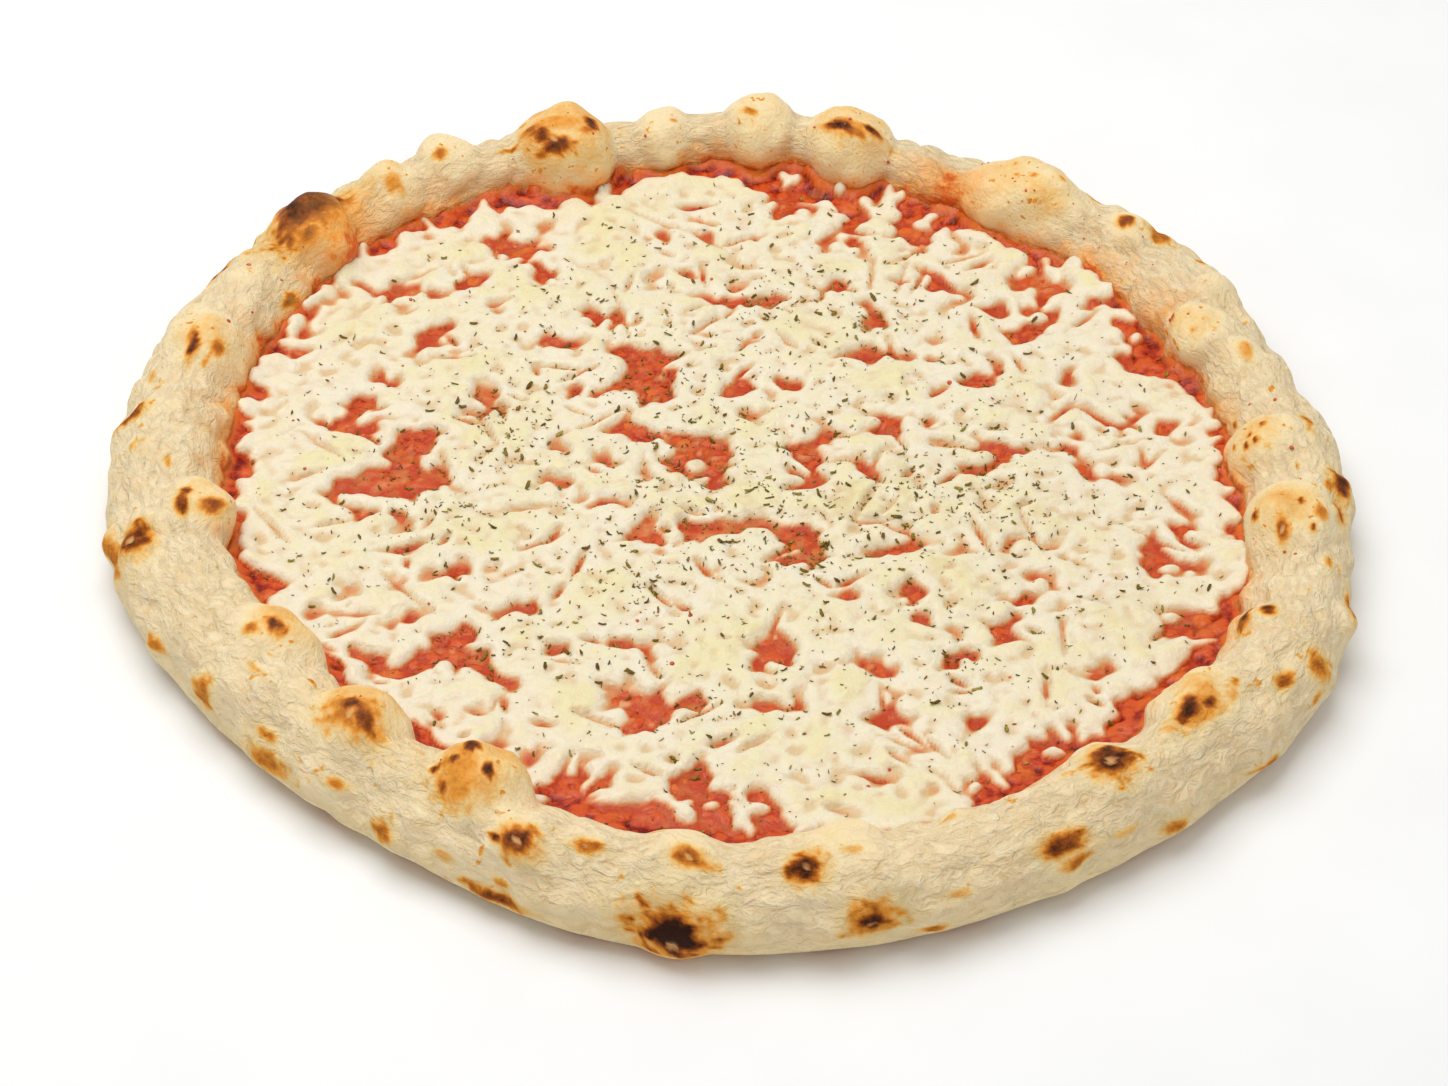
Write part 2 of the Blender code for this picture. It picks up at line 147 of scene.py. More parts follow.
# Popped blisters with a pale torn middle: angle, lean, width in degrees.
CRATERS = (
    (195, 52, 0.5), (251, 62, 0.42), (257, 82, 0.3), (266, 84, 0.4), (265, 0, 0.6), (230, 88, 0.4),
    (276, 76, 0.3), (306, 94, 0.6), (344, 112, 0.3), (112, 124, 0.3), (281, 16, 0.3),
)

# Orange oil drawn up the dough from the sauce: angle, half width, height, strength.
OIL_STAINS = (
    (140, 6, 11, 1.0), (128, 8, 5, 0.7), (110, 10, 4, 0.8), (100, 4, 3, 0.5), (85, 5, 3, 0.6),
    (75, 6, 4, 0.8), (62, 6, 12, 0.9), (50, 6, 4, 0.8), (38, 4, 6, 0.6), (27, 5, 6, 0.8),
    (15, 6, 3, 0.5), (3, 7, 5, 0.9), (350, 6, 3, 0.6), (340, 6, 4, 0.6), (333, 5, 6, 0.8),
    (320, 8, 3, 0.5), (302, 8, 3, 0.5), (280, 7, 2.5, 0.5), (262, 8, 3, 0.6), (245, 6, 8, 0.8),
    (230, 6, 7, 0.7), (213, 5, 4, 0.6), (202, 3, 4, 0.6), (190, 7, 5, 0.8), (175, 8, 6, 0.7),
    (163, 5, 7, 0.6), (155, 4, 4, 0.5),
)

# ---- toppings ------------------------------------------------------------------------------
CHEESE_CELL = 0.78          # spacing of the cheese's surface points
SAUCE_CELL = 1.0
FIELD_HALF = 148.0          # half side of the square that the height fields cover
SAUCE_BOTTOM = 3.3
SAUCE_LEVEL = 5.9
CHEESE_BOTTOM = 4.6

# Radius of the cheese's edge, every 7.5 degrees from 0.
CHEESE_EDGE = (
    121, 124, 123, 110, 115, 124, 122, 118, 119, 124, 122, 116, 124, 127, 121, 122,
    128, 130, 134, 137, 133, 130, 128, 123, 124, 122, 124, 119, 119, 114, 114, 114,
    117, 115, 116, 115, 118, 122, 126, 127, 119, 121, 119, 121, 122, 127, 129, 122,
)

# Gaps where the sauce shows: x, y, half length, half width, turn, and 1 where a film covers it.
GAPS = (
    (-24, 44, 17, 4.2, 40, 0), (-22, 40, 12, 4.5, 10, 0), (-14, 12, 6, 4.8, 60, 0),
    (-24, 19, 6, 2.5, 20, 0), (-20, 5, 5, 1.6, 30, 0), (-5, 5, 3, 2, -20, 0),
    (-84, 11, 12, 4, 50, 0), (-92, -1, 12, 4.6, 20, 0.3), (-82, -1, 6, 5, 80, 0.3),
    (-94, -13, 5, 3, 0, 0), (-100, 29, 9, 2.6, 50, 0), (-71, 85, 4.5, 3, 40, 0),
    (-78, 64, 4, 2, 0, 0), (-63, 70, 3, 1.8, 80, 0), (-55, 94, 6, 1.6, -25, 0),
    (-50, 86, 6, 1.6, -60, 0), (-95, 80, 8, 2, 10, 0.4), (-37, 66, 7, 2, -10, 0),
    (-12, 85, 5, 2.2, 60, 0), (-7, 104, 3, 1.5, 60, 0.4), (-20, 105, 3, 1.5, 0, 0.4),
    (-48, 13, 3.5, 2.5, 90, 0.4), (-65, 31, 7, 2.5, -20, 0.5), (-83, 57, 2.5, 1.5, 0, 0.3),
    (-110, 22, 4, 1.5, 0, 0.3), (-88, 78, 4, 1.5, 20, 0.5), (-115, 36, 5, 1.6, 60, 0.4),
    (11, 74, 12, 2.6, -5, 0), (27, 80, 8, 1.6, 10, 0.2), (5, 55, 6, 2, -25, 0.3),
    (38, 67, 5, 2.5, -60, 0.4), (35, 56, 3, 2.5, 60, 0.3), (60, 79, 6, 2.6, 15, 0),
    (58, 82, 3, 3, 90, 0), (78, 58, 4.5, 3.2, -35, 0), (73, 67, 6, 1.6, 70, 0.1),
    (85, 74, 4, 1.6, 20, 0.1), (89, 69, 3, 1.5, 60, 0), (66, 42, 3, 2, 20, 0),
    (62, 39, 6, 1.4, -40, 0), (54, 34, 6, 1.8, -60, 0), (53, 49, 2, 1.2, 90, 0),
    (95, 26, 6, 2.6, -50, 0), (88, 17, 5, 2, -40, 0), (40, 20, 4, 3, 60, 0.1),
    (50, 22, 3, 1.5, -60, 0.2), (68, 7, 6, 3, 0, 0), (62, 5, 5, 2, 20, 0.3), (17, 10, 6, 2.6, -30, 0),
    (16, -1, 5, 2.5, -60, 0.2), (36, 2, 5, 1.6, 10, 0.3), (15, 40, 6, 1.6, 15, 0.3),
    (4, 36, 4, 2, 20, 0.2), (90, 45, 4, 1.5, 60, 0.2), (107, 19, 2, 1.6, 60, 0),
    (115, 19, 2.5, 2, 0, 0), (98, 70, 3, 2, -40, 0), (33, 113, 8, 3, -50, 0),
    (51, 116, 9, 4.5, 60, 0), (20, 123, 9, 6, 0, 0), (103, 22, 2, 1.2, 30, 0.2),
    (-68, -59, 8, 4.5, 60, 0), (-72, -65, 8, 2.5, 0, 0), (-60, -71, 7, 2, -45, 0.1),
    (-42, -64, 5, 3, -40, 0), (-28, -63, 7, 2, -50, 0), (-86, -55, 4, 2.5, 60, 0.1),
    (-24, -90, 4, 2.5, -60, 0), (-10, -83, 7, 2.5, 10, 0.1), (-20, -25, 3, 2.5, 0, 0),
    (-8, -19, 9, 1.6, 10, 0.5), (-55, -49, 6, 1.5, 20, 0.2), (-64, -4, 3, 1.3, -20, 0),
    (-50, -1, 3, 1.3, -50, 0.2), (-52, -81, 6, 1.3, -60, 0.3), (-10, -104, 4, 1.6, -20, 0.1),
    (-73, -86, 5, 3.8, -20, 0), (-37, -110, 9, 4, 0, 0), (-8, -115, 12, 4, 0, 0.1),
    (-116, -41, 7, 3.6, 0, 0), (-90, -66, 8, 2, -12, 0), (-38, -7, 6, 1.4, -30, 0.4),
    (10, -18, 12, 2.8, 0, 0.45), (10, -84, 7, 2, -15, 0.1), (20, -26, 8, 3, -65, 0.1),
    (25, -32, 4, 1.5, -30, 0.1), (6, -34, 3.5, 2, 0, 0), (17, -31, 4, 1.5, 20, 0.3),
    (27, -44, 4.2, 3.6, 90, 0), (40, -26, 4, 2, 0, 0), (46, -41, 8, 2, -60, 0.1),
    (71, -25, 3.6, 2.8, 0, 0), (83, -31, 3.5, 2.6, 10, 0), (95, -34, 3, 2, 0, 0.1),
    (107, -31, 5, 2.5, 20, 0.1), (112, -20, 3, 2.2, 0, 0), (104, -12, 4, 1.6, 60, 0.3),
    (73, -47, 4.5, 3.2, 30, 0), (68, -55, 6, 1.6, 70, 0), (66, -60, 5, 2.5, 60, 0),
    (58, -66, 7, 1.6, 25, 0), (52, -70, 4, 2.5, 60, 0.1), (45, -55, 4, 1.6, -20, 0.1),
    (12, -65, 5, 2.5, 20, 0.1), (112, -55, 9, 4.6, 30, 0), (90, -73, 4, 1.8, 50, 0),
    (55, -93, 3, 2, 0, 0), (60, -88, 6, 1.2, 10, 0.3), (75, -93, 5, 1.3, 0, 0.3),
    (99, -82, 19, 4.6, 45, 0), (66, -103, 14, 2.6, 25, 0), (12, -106, 3, 2, 0, 0.1),
    (2, -116, 4, 1.4, 40, 0), (112, -5, 4, 1.4, 50, 0.3), (-112, 50, 2, 1.2, 0, 0.4),
)

# Shreds that reach over the bare strip of sauce: start, end, width.
TONGUES = (
    ((-82, 104), (-95, 116), 2.4), ((-103, 92), (-105, 110), 4.4), ((-106, 88), (-108, 98), 2.6),
    ((-71, 106), (-71, 118), 5.0), ((-36, 112), (-36, 126), 5.4), ((-30, 100), (-22, 118), 5.0),
    ((121, 10), (127, 27), 3.6), ((100, 70), (109, 64), 5.0), ((104, 74), (99, 80), 3.6),
    ((88, -79), (97, -72), 2.0), ((94, -65), (118, -62), 3.4), ((58, -95), (77, -89), 3.6),
    ((34, -118), (45, -117), 5.0), ((18, 120), (28, 116), 2.2), ((43, 108), (45, 124), 4.6),
    ((-118, 24), (-128, 20), 4.0), ((-112, 70), (-113, 60), 5.0), ((104, 30), (116, 38), 5.0),
    ((-119, -33), (-108, -30), 5.0), ((118, -40), (124, -30), 4.0), ((102, -44), (120, -44), 4.0),
    ((-14, 112), (-16, 128), 6.0), ((-3, 112), (-2, 128), 6.0), ((8, 118), (6, 124), 2.4),
)

SMALL_MOUND_HEIGHT = 1.8    # of the soft lumps that shreds melt into, some 5 mm across
SHRED_COUNT = 6800
STRAY_COUNT = 90            # shreds that fell on the bare strip of sauce
SLIT_COUNT = 170

# Where more herbs fell: x, y, spread, how many.
HERB_CLUSTERS = (
    (-65, 26, 8, 60), (-76, -13, 7, 60), (10, 73, 6, 55), (25, 79, 6, 35), (-21, -45, 5, 40),
    (70, -11, 11, 90), (-22, 39, 7, 40), (20, -28, 5, 50), (-65, -64, 5, 40), (55, -71, 6, 35),
    (-9, -85, 5, 35), (-60, 14, 8, 50), (-10, 0, 12, 60), (30, -12, 12, 60), (-88, 6, 7, 40),
    (8, -15, 9, 40), (40, 62, 5, 30), (62, 2, 6, 35), (-45, -65, 6, 25), (95, -48, 12, 35),
    (-3, -118, 8, 20), (60, -38, 14, 45), (-105, -38, 6, 15), (45, -5, 10, 45),
)
LOOSE_HERBS = 3000
SAUCE_FLECKS = 90


# ---- numbers and colours -------------------------------------------------------------------
def linear(code):
    """A colour written as sRGB hex, as the linear values that a shader takes."""
    levels = [int(code[start:start + 2], 16) / 255.0 for start in (1, 3, 5)]
    turned = [v / 12.92 if v <= 0.04045 else ((v + 0.055) / 1.055) ** 2.4 for v in levels]
    return (*turned, 1.0)


def per_size(millimetres):
    """Scale of a texture on metres whose pattern repeats about once in this length."""
    return 1000.0 / millimetres


def smooth_step(low, high, value):
    t = np.clip((value - low) / (high - low), 0.0, 1.0)
    return t * t * (3.0 - 2.0 * t)


def waves(points, size, offset=0.0):
    """Random waves between -1 and 1 of this wavelength, the same each run."""
    flat = np.asarray(points, float).reshape(-1, 3) / size + offset
    values = np.array([noise.noise(Vector(point)) for point in flat])
    return values.reshape(np.shape(points)[:-1])


def blur(field, cells):
    """Gaussian blur of a height field."""
    reach = int(math.ceil(3.0 * cells))
    weights = np.exp(-0.5 * (np.arange(-reach, reach + 1) / cells) ** 2)
    weights /= weights.sum()
    for axis in (0, 1):
        padded = np.pad(field, [(reach, reach) if axis == side else (0, 0) for side in (0, 1)],
                        mode="edge")
        size = field.shape[axis]
        field = sum(weight * np.take(padded, range(shift, shift + size), axis=axis)
                    for shift, weight in enumerate(weights))
    return field


def turned_by(angle, degrees_round):
    """Signed angle from one direction to others, between -180 and 180."""
    return (degrees_round - angle + 180.0) % 360.0 - 180.0


# ---- the dough's form ----------------------------------------------------------------------
def around(stations, degrees_round):
    """Smooth value between even stations round the pizza (Catmull-Rom, closed)."""
    table = np.asarray(stations, float)
    place = (degrees_round % 360.0) / (360.0 / len(table))
    first = np.floor(place).astype(int)
    t = place - first
    if table.ndim > 1:
        t = t[..., None]
    a, b, c, d = (table[(first + shift) % len(table)] for shift in (-1, 0, 1, 2))
    return 0.5 * (2 * b + (c - a) * t + (2 * a - 5 * b + 4 * c - d) * t ** 2
                  + (3 * b - a - 3 * c + d) * t ** 3)


def soft_union(reach, other, radius):
    """The larger of two reaches, with the crease between them rounded."""
    overlap = np.maximum(radius - np.abs(reach - other), 0.0) / radius
    return np.maximum(reach, other) + overlap ** 2 * radius / 4.0


def bubble_reach(bubble, degrees_round, lean, core_radius):
    """How far out one bubble reaches from the core line, or 0 where it doesn't."""
    angle, bubble_lean, offset, radius, half_length = bubble[:5]
    along = np.radians(turned_by(angle, degrees_round)) * core_radius / half_length
    section = radius ** 2 * np.clip(1.0 - along ** 2, 0.0, None)
    toward = offset * np.cos(lean - math.radians(bubble_lean))
    inside = toward ** 2 - offset ** 2 + section
    reach = toward + np.sqrt(np.clip(inside, 0.0, None))
    return np.where((inside > 0.0) & (section > 0.0), reach, 0.0)


def rim_reach(degrees_round, lean):
    """Core radius, reach of the skin from the core line, and how much each spot is a golden bubble."""
    outer, crest, inner = np.moveaxis(around(RIM_STATIONS, degrees_round), -1, 0)
    core_radius = (outer + inner) / 2.0
    upper = np.sin(lean) > 0.0
    half_height = np.where(upper, crest - CORE_HEIGHT, CORE_HEIGHT - RIM_UNDERCUT)
    inward = smooth_step(85.0, 140.0, np.degrees(lean))
    top_power = TOP_ROUNDNESS + (INNER_ROUNDNESS - TOP_ROUNDNESS) * inward
    power = np.where(upper, top_power, UNDER_ROUNDNESS)
    plain = ((np.abs(np.cos(lean)) * 2.0 / (outer - inner)) ** power
             + (np.abs(np.sin(lean)) / half_height) ** power) ** (-1.0 / power)
    reach = plain
    skin = np.zeros_like(plain)
    gold = np.zeros_like(plain)
    for bubble in BUBBLES:
        other = bubble_reach(bubble, degrees_round, lean, core_radius)
        reach = soft_union(reach, other, WELD_RADIUS)
        proud = other - plain
        skin = np.maximum(skin, smooth_step(-0.8, 4.0, proud))
        gold = np.maximum(gold, smooth_step(-0.5, 6.0, proud) * bubble[5])
    return core_radius, reach, skin, gold


def browning(degrees_round, lean, points):
    """How far the dough is baked (0 pale, 0.3 golden, 0.6 brown, 1 charred), and blisters' rise."""
    ragged = 0.4 * waves(points, 5.0) + 0.45 * waves(points, 2.4) + 0.3 * waves(points, 1.3)
    lean_degrees = np.degrees(lean)
    baked = np.zeros_like(degrees_round)
    rise = np.zeros_like(degrees_round)
    for angle, mark_lean, width, length, depth in MARKS + hidden_marks():
        aside = turned_by(angle, degrees_round) / (0.5 * width)
        over = (lean_degrees - mark_lean) / (0.5 * length)
        near = np.sqrt(aside ** 2 + over ** 2)
        rough = near * (1.0 + ragged)
        core = depth * smooth_step(1.7, 0.3, rough)
        soft = near * (1.0 + 0.4 * ragged)
        halo = 0.58 * min(depth, 0.8) * np.exp(-0.3 * soft ** 2)
        baked = np.maximum(baked, np.maximum(core, halo))
        if depth > 0.5:
            rise = np.maximum(rise, min(width, 3.0) * 0.3 * np.exp(-0.35 * near ** 2))
    return baked, rise


@functools.lru_cache(maxsize=None)
def hidden_marks():
    """Marks like the others on the outer side that faces away."""
    draw = random.Random(7)
    marks = []
    for angle in range(16, 172, 6):
        for _ in range(2):
            depth = draw.choice((0.35, 0.4, 0.55, 0.6, 0.8, 0.95))
            marks.append((angle + draw.uniform(-3, 3), draw.uniform(-30, 46),
                          draw.uniform(1.2, 4.5), draw.uniform(8, 30), depth))
    return tuple(marks)


@functools.lru_cache(maxsize=None)
def dough_form():
    """Radius, height and finish of the dough's skin: one row for each ring, one column each way round."""
    degrees_round = np.arange(RIM_SEGMENTS) * 360.0 / RIM_SEGMENTS
    leans = np.radians(np.linspace(WALL_LEAN, LOWEST_LEAN, SECTION_RINGS))
    turn, lean = np.meshgrid(degrees_round, leans)
    core_radius, reach, skin, gold = rim_reach(turn, lean)

    def spots(out):
        radius = core_radius + out * np.cos(lean)
        height = CORE_HEIGHT + out * np.sin(lean)
        angle = np.radians(turn)
        return np.stack([radius * np.cos(angle), radius * np.sin(angle), height], axis=-1)

    at = spots(reach)
    raised = smooth_step(2.0, 12.0, at[..., 2])
    slow = waves(at, LUMP_SIZE)
    lumps = waves(at, 13.0, 31.0)
    knobs = waves(at, 6.5, 36.0)
    warped = at + 1.6 * np.stack([waves(at, 4.5, shift) for shift in (51.0, 61.0, 71.0)], axis=-1)
    puffs = 2.4 * np.abs(waves(warped, 9.0, 57.0)) - 0.5
    flour = 1.0 - 0.85 * skin
    flour = np.clip(flour * (1.0 + 0.3 * waves(at, 12.0, 11.0)), 0.0, 1.0)
    baked, rise = browning(turn, lean, at)

    rough = raised * (LUMP_HEIGHT * slow + 2.2 * lumps + 0.8 * knobs)
    rough += raised * (0.45 + 0.55 * flour) * puffs + rise
    blister = smooth_step(0.55, 1.0, baked)
    rough += 0.35 * blister * waves(at, 2.4, 19.0)
    torn = np.zeros_like(rough)
    for angle, crater_lean, width in CRATERS:
        near = np.hypot(turned_by(angle, turn) / width, (np.degrees(lean) - crater_lean) / (9.0 * width))
        torn = np.maximum(torn, smooth_step(0.9, 0.35, near * (1.0 + 0.5 * waves(at, 2.0, 3.0))))
    rough -= 0.7 * torn
    baked = baked * (1.0 - 0.7 * torn)

    golden_depth = gold * (0.3 + 0.16 * waves(at, 8.0, 41.0)) + 0.05 * gold * np.sin(lean)
    # Gold fades towards each bubble's lower side: partly the paler, less baked underside, partly painted
    # light that lightens the lower side, which gets less light.
    golden_depth *= 0.35 + 0.65 * smooth_step(0.1, 0.9, np.sin(lean))
    low = smooth_step(-8.0, -52.0, np.degrees(lean))
    toasted_and_warm_shade = low * (0.4 + 0.45 * waves(at, 10.0, 71.0) + 0.3 * smooth_step(-35.0, -62.0, np.degrees(lean)))
    # Painted shade: a warm golden tone on the rim's outer and lower side, where the shaded dough looks
    # warmer.
    toasted_and_warm_shade = np.maximum(toasted_and_warm_shade, 0.15 * smooth_step(50.0, -10.0, np.degrees(lean)))
    toasted_and_warm_shade = np.maximum(toasted_and_warm_shade, 0.11 * smooth_step(0.0, 0.6, waves(at, 13.0, 91.0)) * raised)
    baked = np.maximum(baked, np.maximum(golden_depth, toasted_and_warm_shade))

    oil = np.zeros_like(rough)
    drawn = 1.0 + 0.5 * waves(at, 4.0, 23.0)
    above = at[..., 2] - SAUCE_LEVEL
    inward = smooth_step(80.0, 118.0, np.degrees(lean))
    for angle, half_width, height, strength in OIL_STAINS:
        beside = np.exp(-(turned_by(angle, turn) / half_width) ** 2)
        oil = np.maximum(oil, strength * beside * inward
                         * smooth_step(height * 2.6, height * 0.5, above * drawn))
    climbs = 8.5 + 5.0 * waves(at * (1.0, 1.0, 0.3), 17.0, 29.0)
    oil = np.maximum(oil, 0.95 * inward * smooth_step(1.2, 0.25, above * drawn / climbs))

    out = reach + rough
    radius = core_radius + out * np.cos(lean)
    height = np.maximum(CORE_HEIGHT + out * np.sin(lean), 0.3)
    return {"turn": turn, "lean": lean, "radius": radius, "height": height, "flour": flour,
            "baked": baked, "oil": oil, "torn": torn, "across": reach.mean() * lean}


@functools.lru_cache(maxsize=None)
def ring_shift():
    """Where the ring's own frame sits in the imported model, in millimetres."""
    form = dough_form()
    angle = np.radians(form["turn"])
    outline = np.stack([form["radius"] * np.cos(angle), form["radius"] * np.sin(angle)], axis=-1)
    own_middle = (outline.min(axis=(0, 1)) + outline.max(axis=(0, 1))) / 2.0
    low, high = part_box("crust")
    return ((low.x + high.x) / 2.0 / MM - own_middle[0], (low.y + high.y) / 2.0 / MM - own_middle[1])


def placed(points):
    """Points of the ring's frame in millimetres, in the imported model's frame in metres."""
    return (np.asarray(points, float) + (*ring_shift(), 0.0)) * MM


@functools.lru_cache(maxsize=None)
def inner_slope():
    """Height of the dough's inner slope over even radii, one row each way round, and the wall's radius."""
    form = dough_form()
    inner = form["lean"][:, 0] > math.radians(85.0)
    radius = np.minimum.accumulate(form["radius"][inner][::-1], axis=0)
    height = form["height"][inner][::-1]
    radii = np.arange(105.0, 165.0, 0.5)
    rows = np.array([np.interp(radii, radius[::-1, column], height[::-1, column],
                               left=BASE_THICKNESS) for column in range(RIM_SEGMENTS)])
    smooth = sum(np.roll(rows, shift, axis=0) for shift in range(-4, 5)) / 9.0
    return radii, smooth, radius[-1]


def wall_radius(degrees_round):
    wall = inner_slope()[2]
    column = np.round(degrees_round / 360.0 * RIM_SEGMENTS).astype(int) % RIM_SEGMENTS
    return wall[column]


def foot_radius(degrees_round):
    """Radius of the inner wall where it meets the floor, under any bubble that hangs over it."""
    column = np.round(degrees_round / 360.0 * RIM_SEGMENTS).astype(int) % RIM_SEGMENTS
    return dough_form()["radius"][0][column]


def slope_height(degrees_round, radius):
    """Height of the dough's inner slope, or of its floor inside the wall."""
    radii, table, _ = inner_slope()
    column = np.round(degrees_round / 360.0 * RIM_SEGMENTS).astype(int) % RIM_SEGMENTS
    place = np.clip((radius - radii[0]) / (radii[1] - radii[0]), 0.0, len(radii) - 1.001)
    first = place.astype(int)
    part = place - first
    return table[column, first] * (1.0 - part) + table[column, first + 1] * part


# ---- the sauce's and the cheese's form -----------------------------------------------------
def sauce_height(x, y):
    """Top of the sauce: pulpy, drawn up where it meets the dough, smeared over it in places."""
    degrees_round = np.degrees(np.arctan2(y, x))
    radius = np.hypot(x, y)
    flat = np.stack([x, y, np.zeros_like(x)], axis=-1)
    pulp = 0.7 * waves(flat, 6.0, 5.0) + 1.3 * np.abs(waves(flat, 4.2, 15.0)) - 0.2
    pulp += 0.4 * waves(flat, 2.4, 25.0)
    wall = wall_radius(degrees_round)
    swell = 0.9 * np.exp(-((wall - 5.0 - radius) / 4.0) ** 2)
    climb = 3.0 + 1.6 * waves(flat, 15.0, 95.0)
    drawn_up = climb * np.exp(-np.maximum(wall - radius, 0.0) / 3.0)
    level = SAUCE_LEVEL + pulp + swell * (0.6 + waves(flat, 9.0, 45.0)) + drawn_up
    smear = smooth_step(-0.05, 0.35, waves(flat, 8.0, 65.0)) - 0.25
    buried = slope_height(degrees_round, radius - 1.6 + 2.0 * smear) - 0.3
    limit = SAUCE_LEVEL + 4.4 + 1.5 * waves(flat, 7.0, 75.0)
    limit = limit - 3.0 * smooth_step(0.5, 2.5, radius - wall)
    return np.maximum(level, np.minimum(buried, limit))


@functools.lru_cache(maxsize=None)
def field_axes():
    count = 2 * int(round(FIELD_HALF / CHEESE_CELL)) + 1
    along = (np.arange(count) - (count - 1) / 2.0) * CHEESE_CELL
    x, y = np.meshgrid(along, along)
    return along, x, y


def in_field(field, x, y):
    """Value of a height field at any points."""
    along = field_axes()[0]
    column = np.clip((np.asarray(x) - along[0]) / CHEESE_CELL, 0.0, len(along) - 1.001)
    row = np.clip((np.asarray(y) - along[0]) / CHEESE_CELL, 0.0, len(along) - 1.001)
    i, j = row.astype(int), column.astype(int)
    s, t = row - i, column - j
    return (field[i, j] * (1 - s) * (1 - t) + field[i + 1, j] * s * (1 - t)
            + field[i, j + 1] * (1 - s) * t + field[i + 1, j + 1] * s * t)


def clearance(gaps, x, y):
    """Distance outside the nearest gap's edge, below 0 inside it, and how filmed over that gap is."""
    flat = np.stack([x, y, np.zeros_like(x)], axis=-1)
    wobble = 0.9 * waves(flat, 4.2, 35.0) + 0.6 * waves(flat, 8.0, 85.0)
    nearest = np.full_like(x, 60.0)
    film = np.zeros_like(x)
    for gap_x, gap_y, half_length, half_width, turn, filmed in gaps:
        cosine, sine = math.cos(math.radians(turn)), math.sin(math.radians(turn))
        along = (x - gap_x) * cosine + (y - gap_y) * sine
        across = (y - gap_y) * cosine - (x - gap_x) * sine
        shape = np.sqrt((along / half_length) ** 2 + (across / half_width) ** 2)
        away = (shape - 1.0) * min(half_width, 3.0) + wobble * min(half_width / 2.5, 1.0)
        film = np.where(away < nearest, filmed, film)
        nearest = np.minimum(nearest, away)
    return nearest, film


@functools.lru_cache(maxsize=None)
def slits():
    """Narrow clefts between lumps, everywhere under the herbs: shaped like the gaps."""
    draw = random.Random(21)
    made = []
    for _ in range(SLIT_COUNT):
        radius = 122.0 * math.sqrt(draw.random())
        angle = draw.uniform(0.0, math.tau)
        made.append((radius * math.cos(angle), radius * math.sin(angle), draw.uniform(1.2, 5.0),
                     draw.uniform(0.4, 0.95), draw.uniform(-90.0, 90.0), 0.0))
    return tuple(made)


def lay_shred(field, start, bend, end, half_width, level, rise):
    """Lays one shred on a height field: a bent rounded strand, joined softly to what it meets."""
    along = field_axes()[0]
    corners = np.array([start, bend, end])
    low = corners.min(axis=0) - half_width - 1.0
    high = corners.max(axis=0) + half_width + 1.0
    first = np.clip(((low - along[0]) / CHEESE_CELL).astype(int), 0, len(along) - 2)
    last = np.clip(((high - along[0]) / CHEESE_CELL).astype(int) + 1, 1, len(along) - 1)
    x, y = np.meshgrid(along[first[0]:last[0] + 1], along[first[1]:last[1] + 1])
    nearest = np.full(x.shape, 1e9)
    for tip in (start, end):
        run = tip - bend
        t = np.clip(((x - bend[0]) * run[0] + (y - bend[1]) * run[1]) / (run @ run + 1e-9), 0.0, 1.0)
        away = (x - bend[0] - t * run[0]) ** 2 + (y - bend[1] - t * run[1]) ** 2
        nearest = np.minimum(nearest, away / (half_width * (1.0 - 0.35 * t ** 2)) ** 2)
    bulge = np.sqrt(np.clip(1.0 - nearest, 0.0, None))
    top = np.where(bulge > 0.0, level + rise * bulge, -5.0)
    window = (slice(first[1], last[1] + 1), slice(first[0], last[0] + 1))
    field[window] = soft_union(field[window], top, 0.35)


def shred_relief():
    """Relief of grated mozzarella that melted: thousands of crossing shreds, none over a gap."""
    draw = random.Random(3)
    _, x, _ = field_axes()
    strands = []
    for _ in range(SHRED_COUNT):
        radius = 136.0 * math.sqrt(draw.random())
        angle = draw.uniform(0.0, math.tau)
        heading = draw.gauss(0.2, 1.2)
        half = draw.choice((draw.uniform(0.4, 2.0), draw.uniform(0.8, 4.0), draw.uniform(2.0, 7.0)))
        bow = draw.uniform(-0.35, 0.35) * half
        middle = np.array((radius * math.cos(angle), radius * math.sin(angle)))
        run = np.array((math.cos(heading), math.sin(heading)))
        bend = middle + np.array((-run[1], run[0])) * bow
        strands.append((middle - run * half, bend, middle + run * half, draw.uniform(1.5, 3.3),
                        draw.uniform(0.0, 1.2), draw.uniform(0.9, 1.7)))
    for start, end, width in TONGUES:
        middle = (np.array(start) + end) / 2.0 + (draw.uniform(-1.5, 1.5), draw.uniform(-1.5, 1.5))
        strands.append((np.array(start, float), middle, np.array(end, float), 0.46 * width, 0.2, 1.1))

    for _ in range(STRAY_COUNT):
        turn = draw.uniform(0.0, 360.0)
        edge = float(around(CHEESE_EDGE, turn))
        wall = float(wall_radius(np.array(turn)))
        radius = draw.uniform(edge - 3.0, max(edge, wall - 2.5))
        middle = radius * np.array((math.cos(math.radians(turn)), math.sin(math.radians(turn))))
        heading = draw.uniform(0.0, math.tau)
        run = np.array((math.cos(heading), math.sin(heading))) * draw.uniform(1.0, 3.6)
        bend = middle + np.array((-run[1], run[0])) * draw.uniform(-0.3, 0.3)
        strands.append((middle - run, bend, middle + run, draw.uniform(1.2, 2.4), 0.2, 1.2))

    ways = [(start, (start + bend) / 2, bend, (bend + end) / 2, end) for start, bend, end, *_ in strands]
    spots = np.array(ways, float)
    room = open_room(spots[..., 0], spots[..., 1])
    sparse = waves(np.concatenate([spots[:, 2], np.zeros((len(spots), 1))], axis=1), 15.0, 7.0)
    field = np.full_like(x, -0.6)
    for number, strand in enumerate(strands):
        reached = room[number].min() - 0.5 + abs(draw.gauss(0.0, 1.0))
        skipped = draw.random() < 0.75 * float(smooth_step(0.0, 0.35, sparse[number]))
        if number >= SHRED_COUNT or (reached > 0.0 and not skipped):
            lay_shred(field, *strand)
    return field


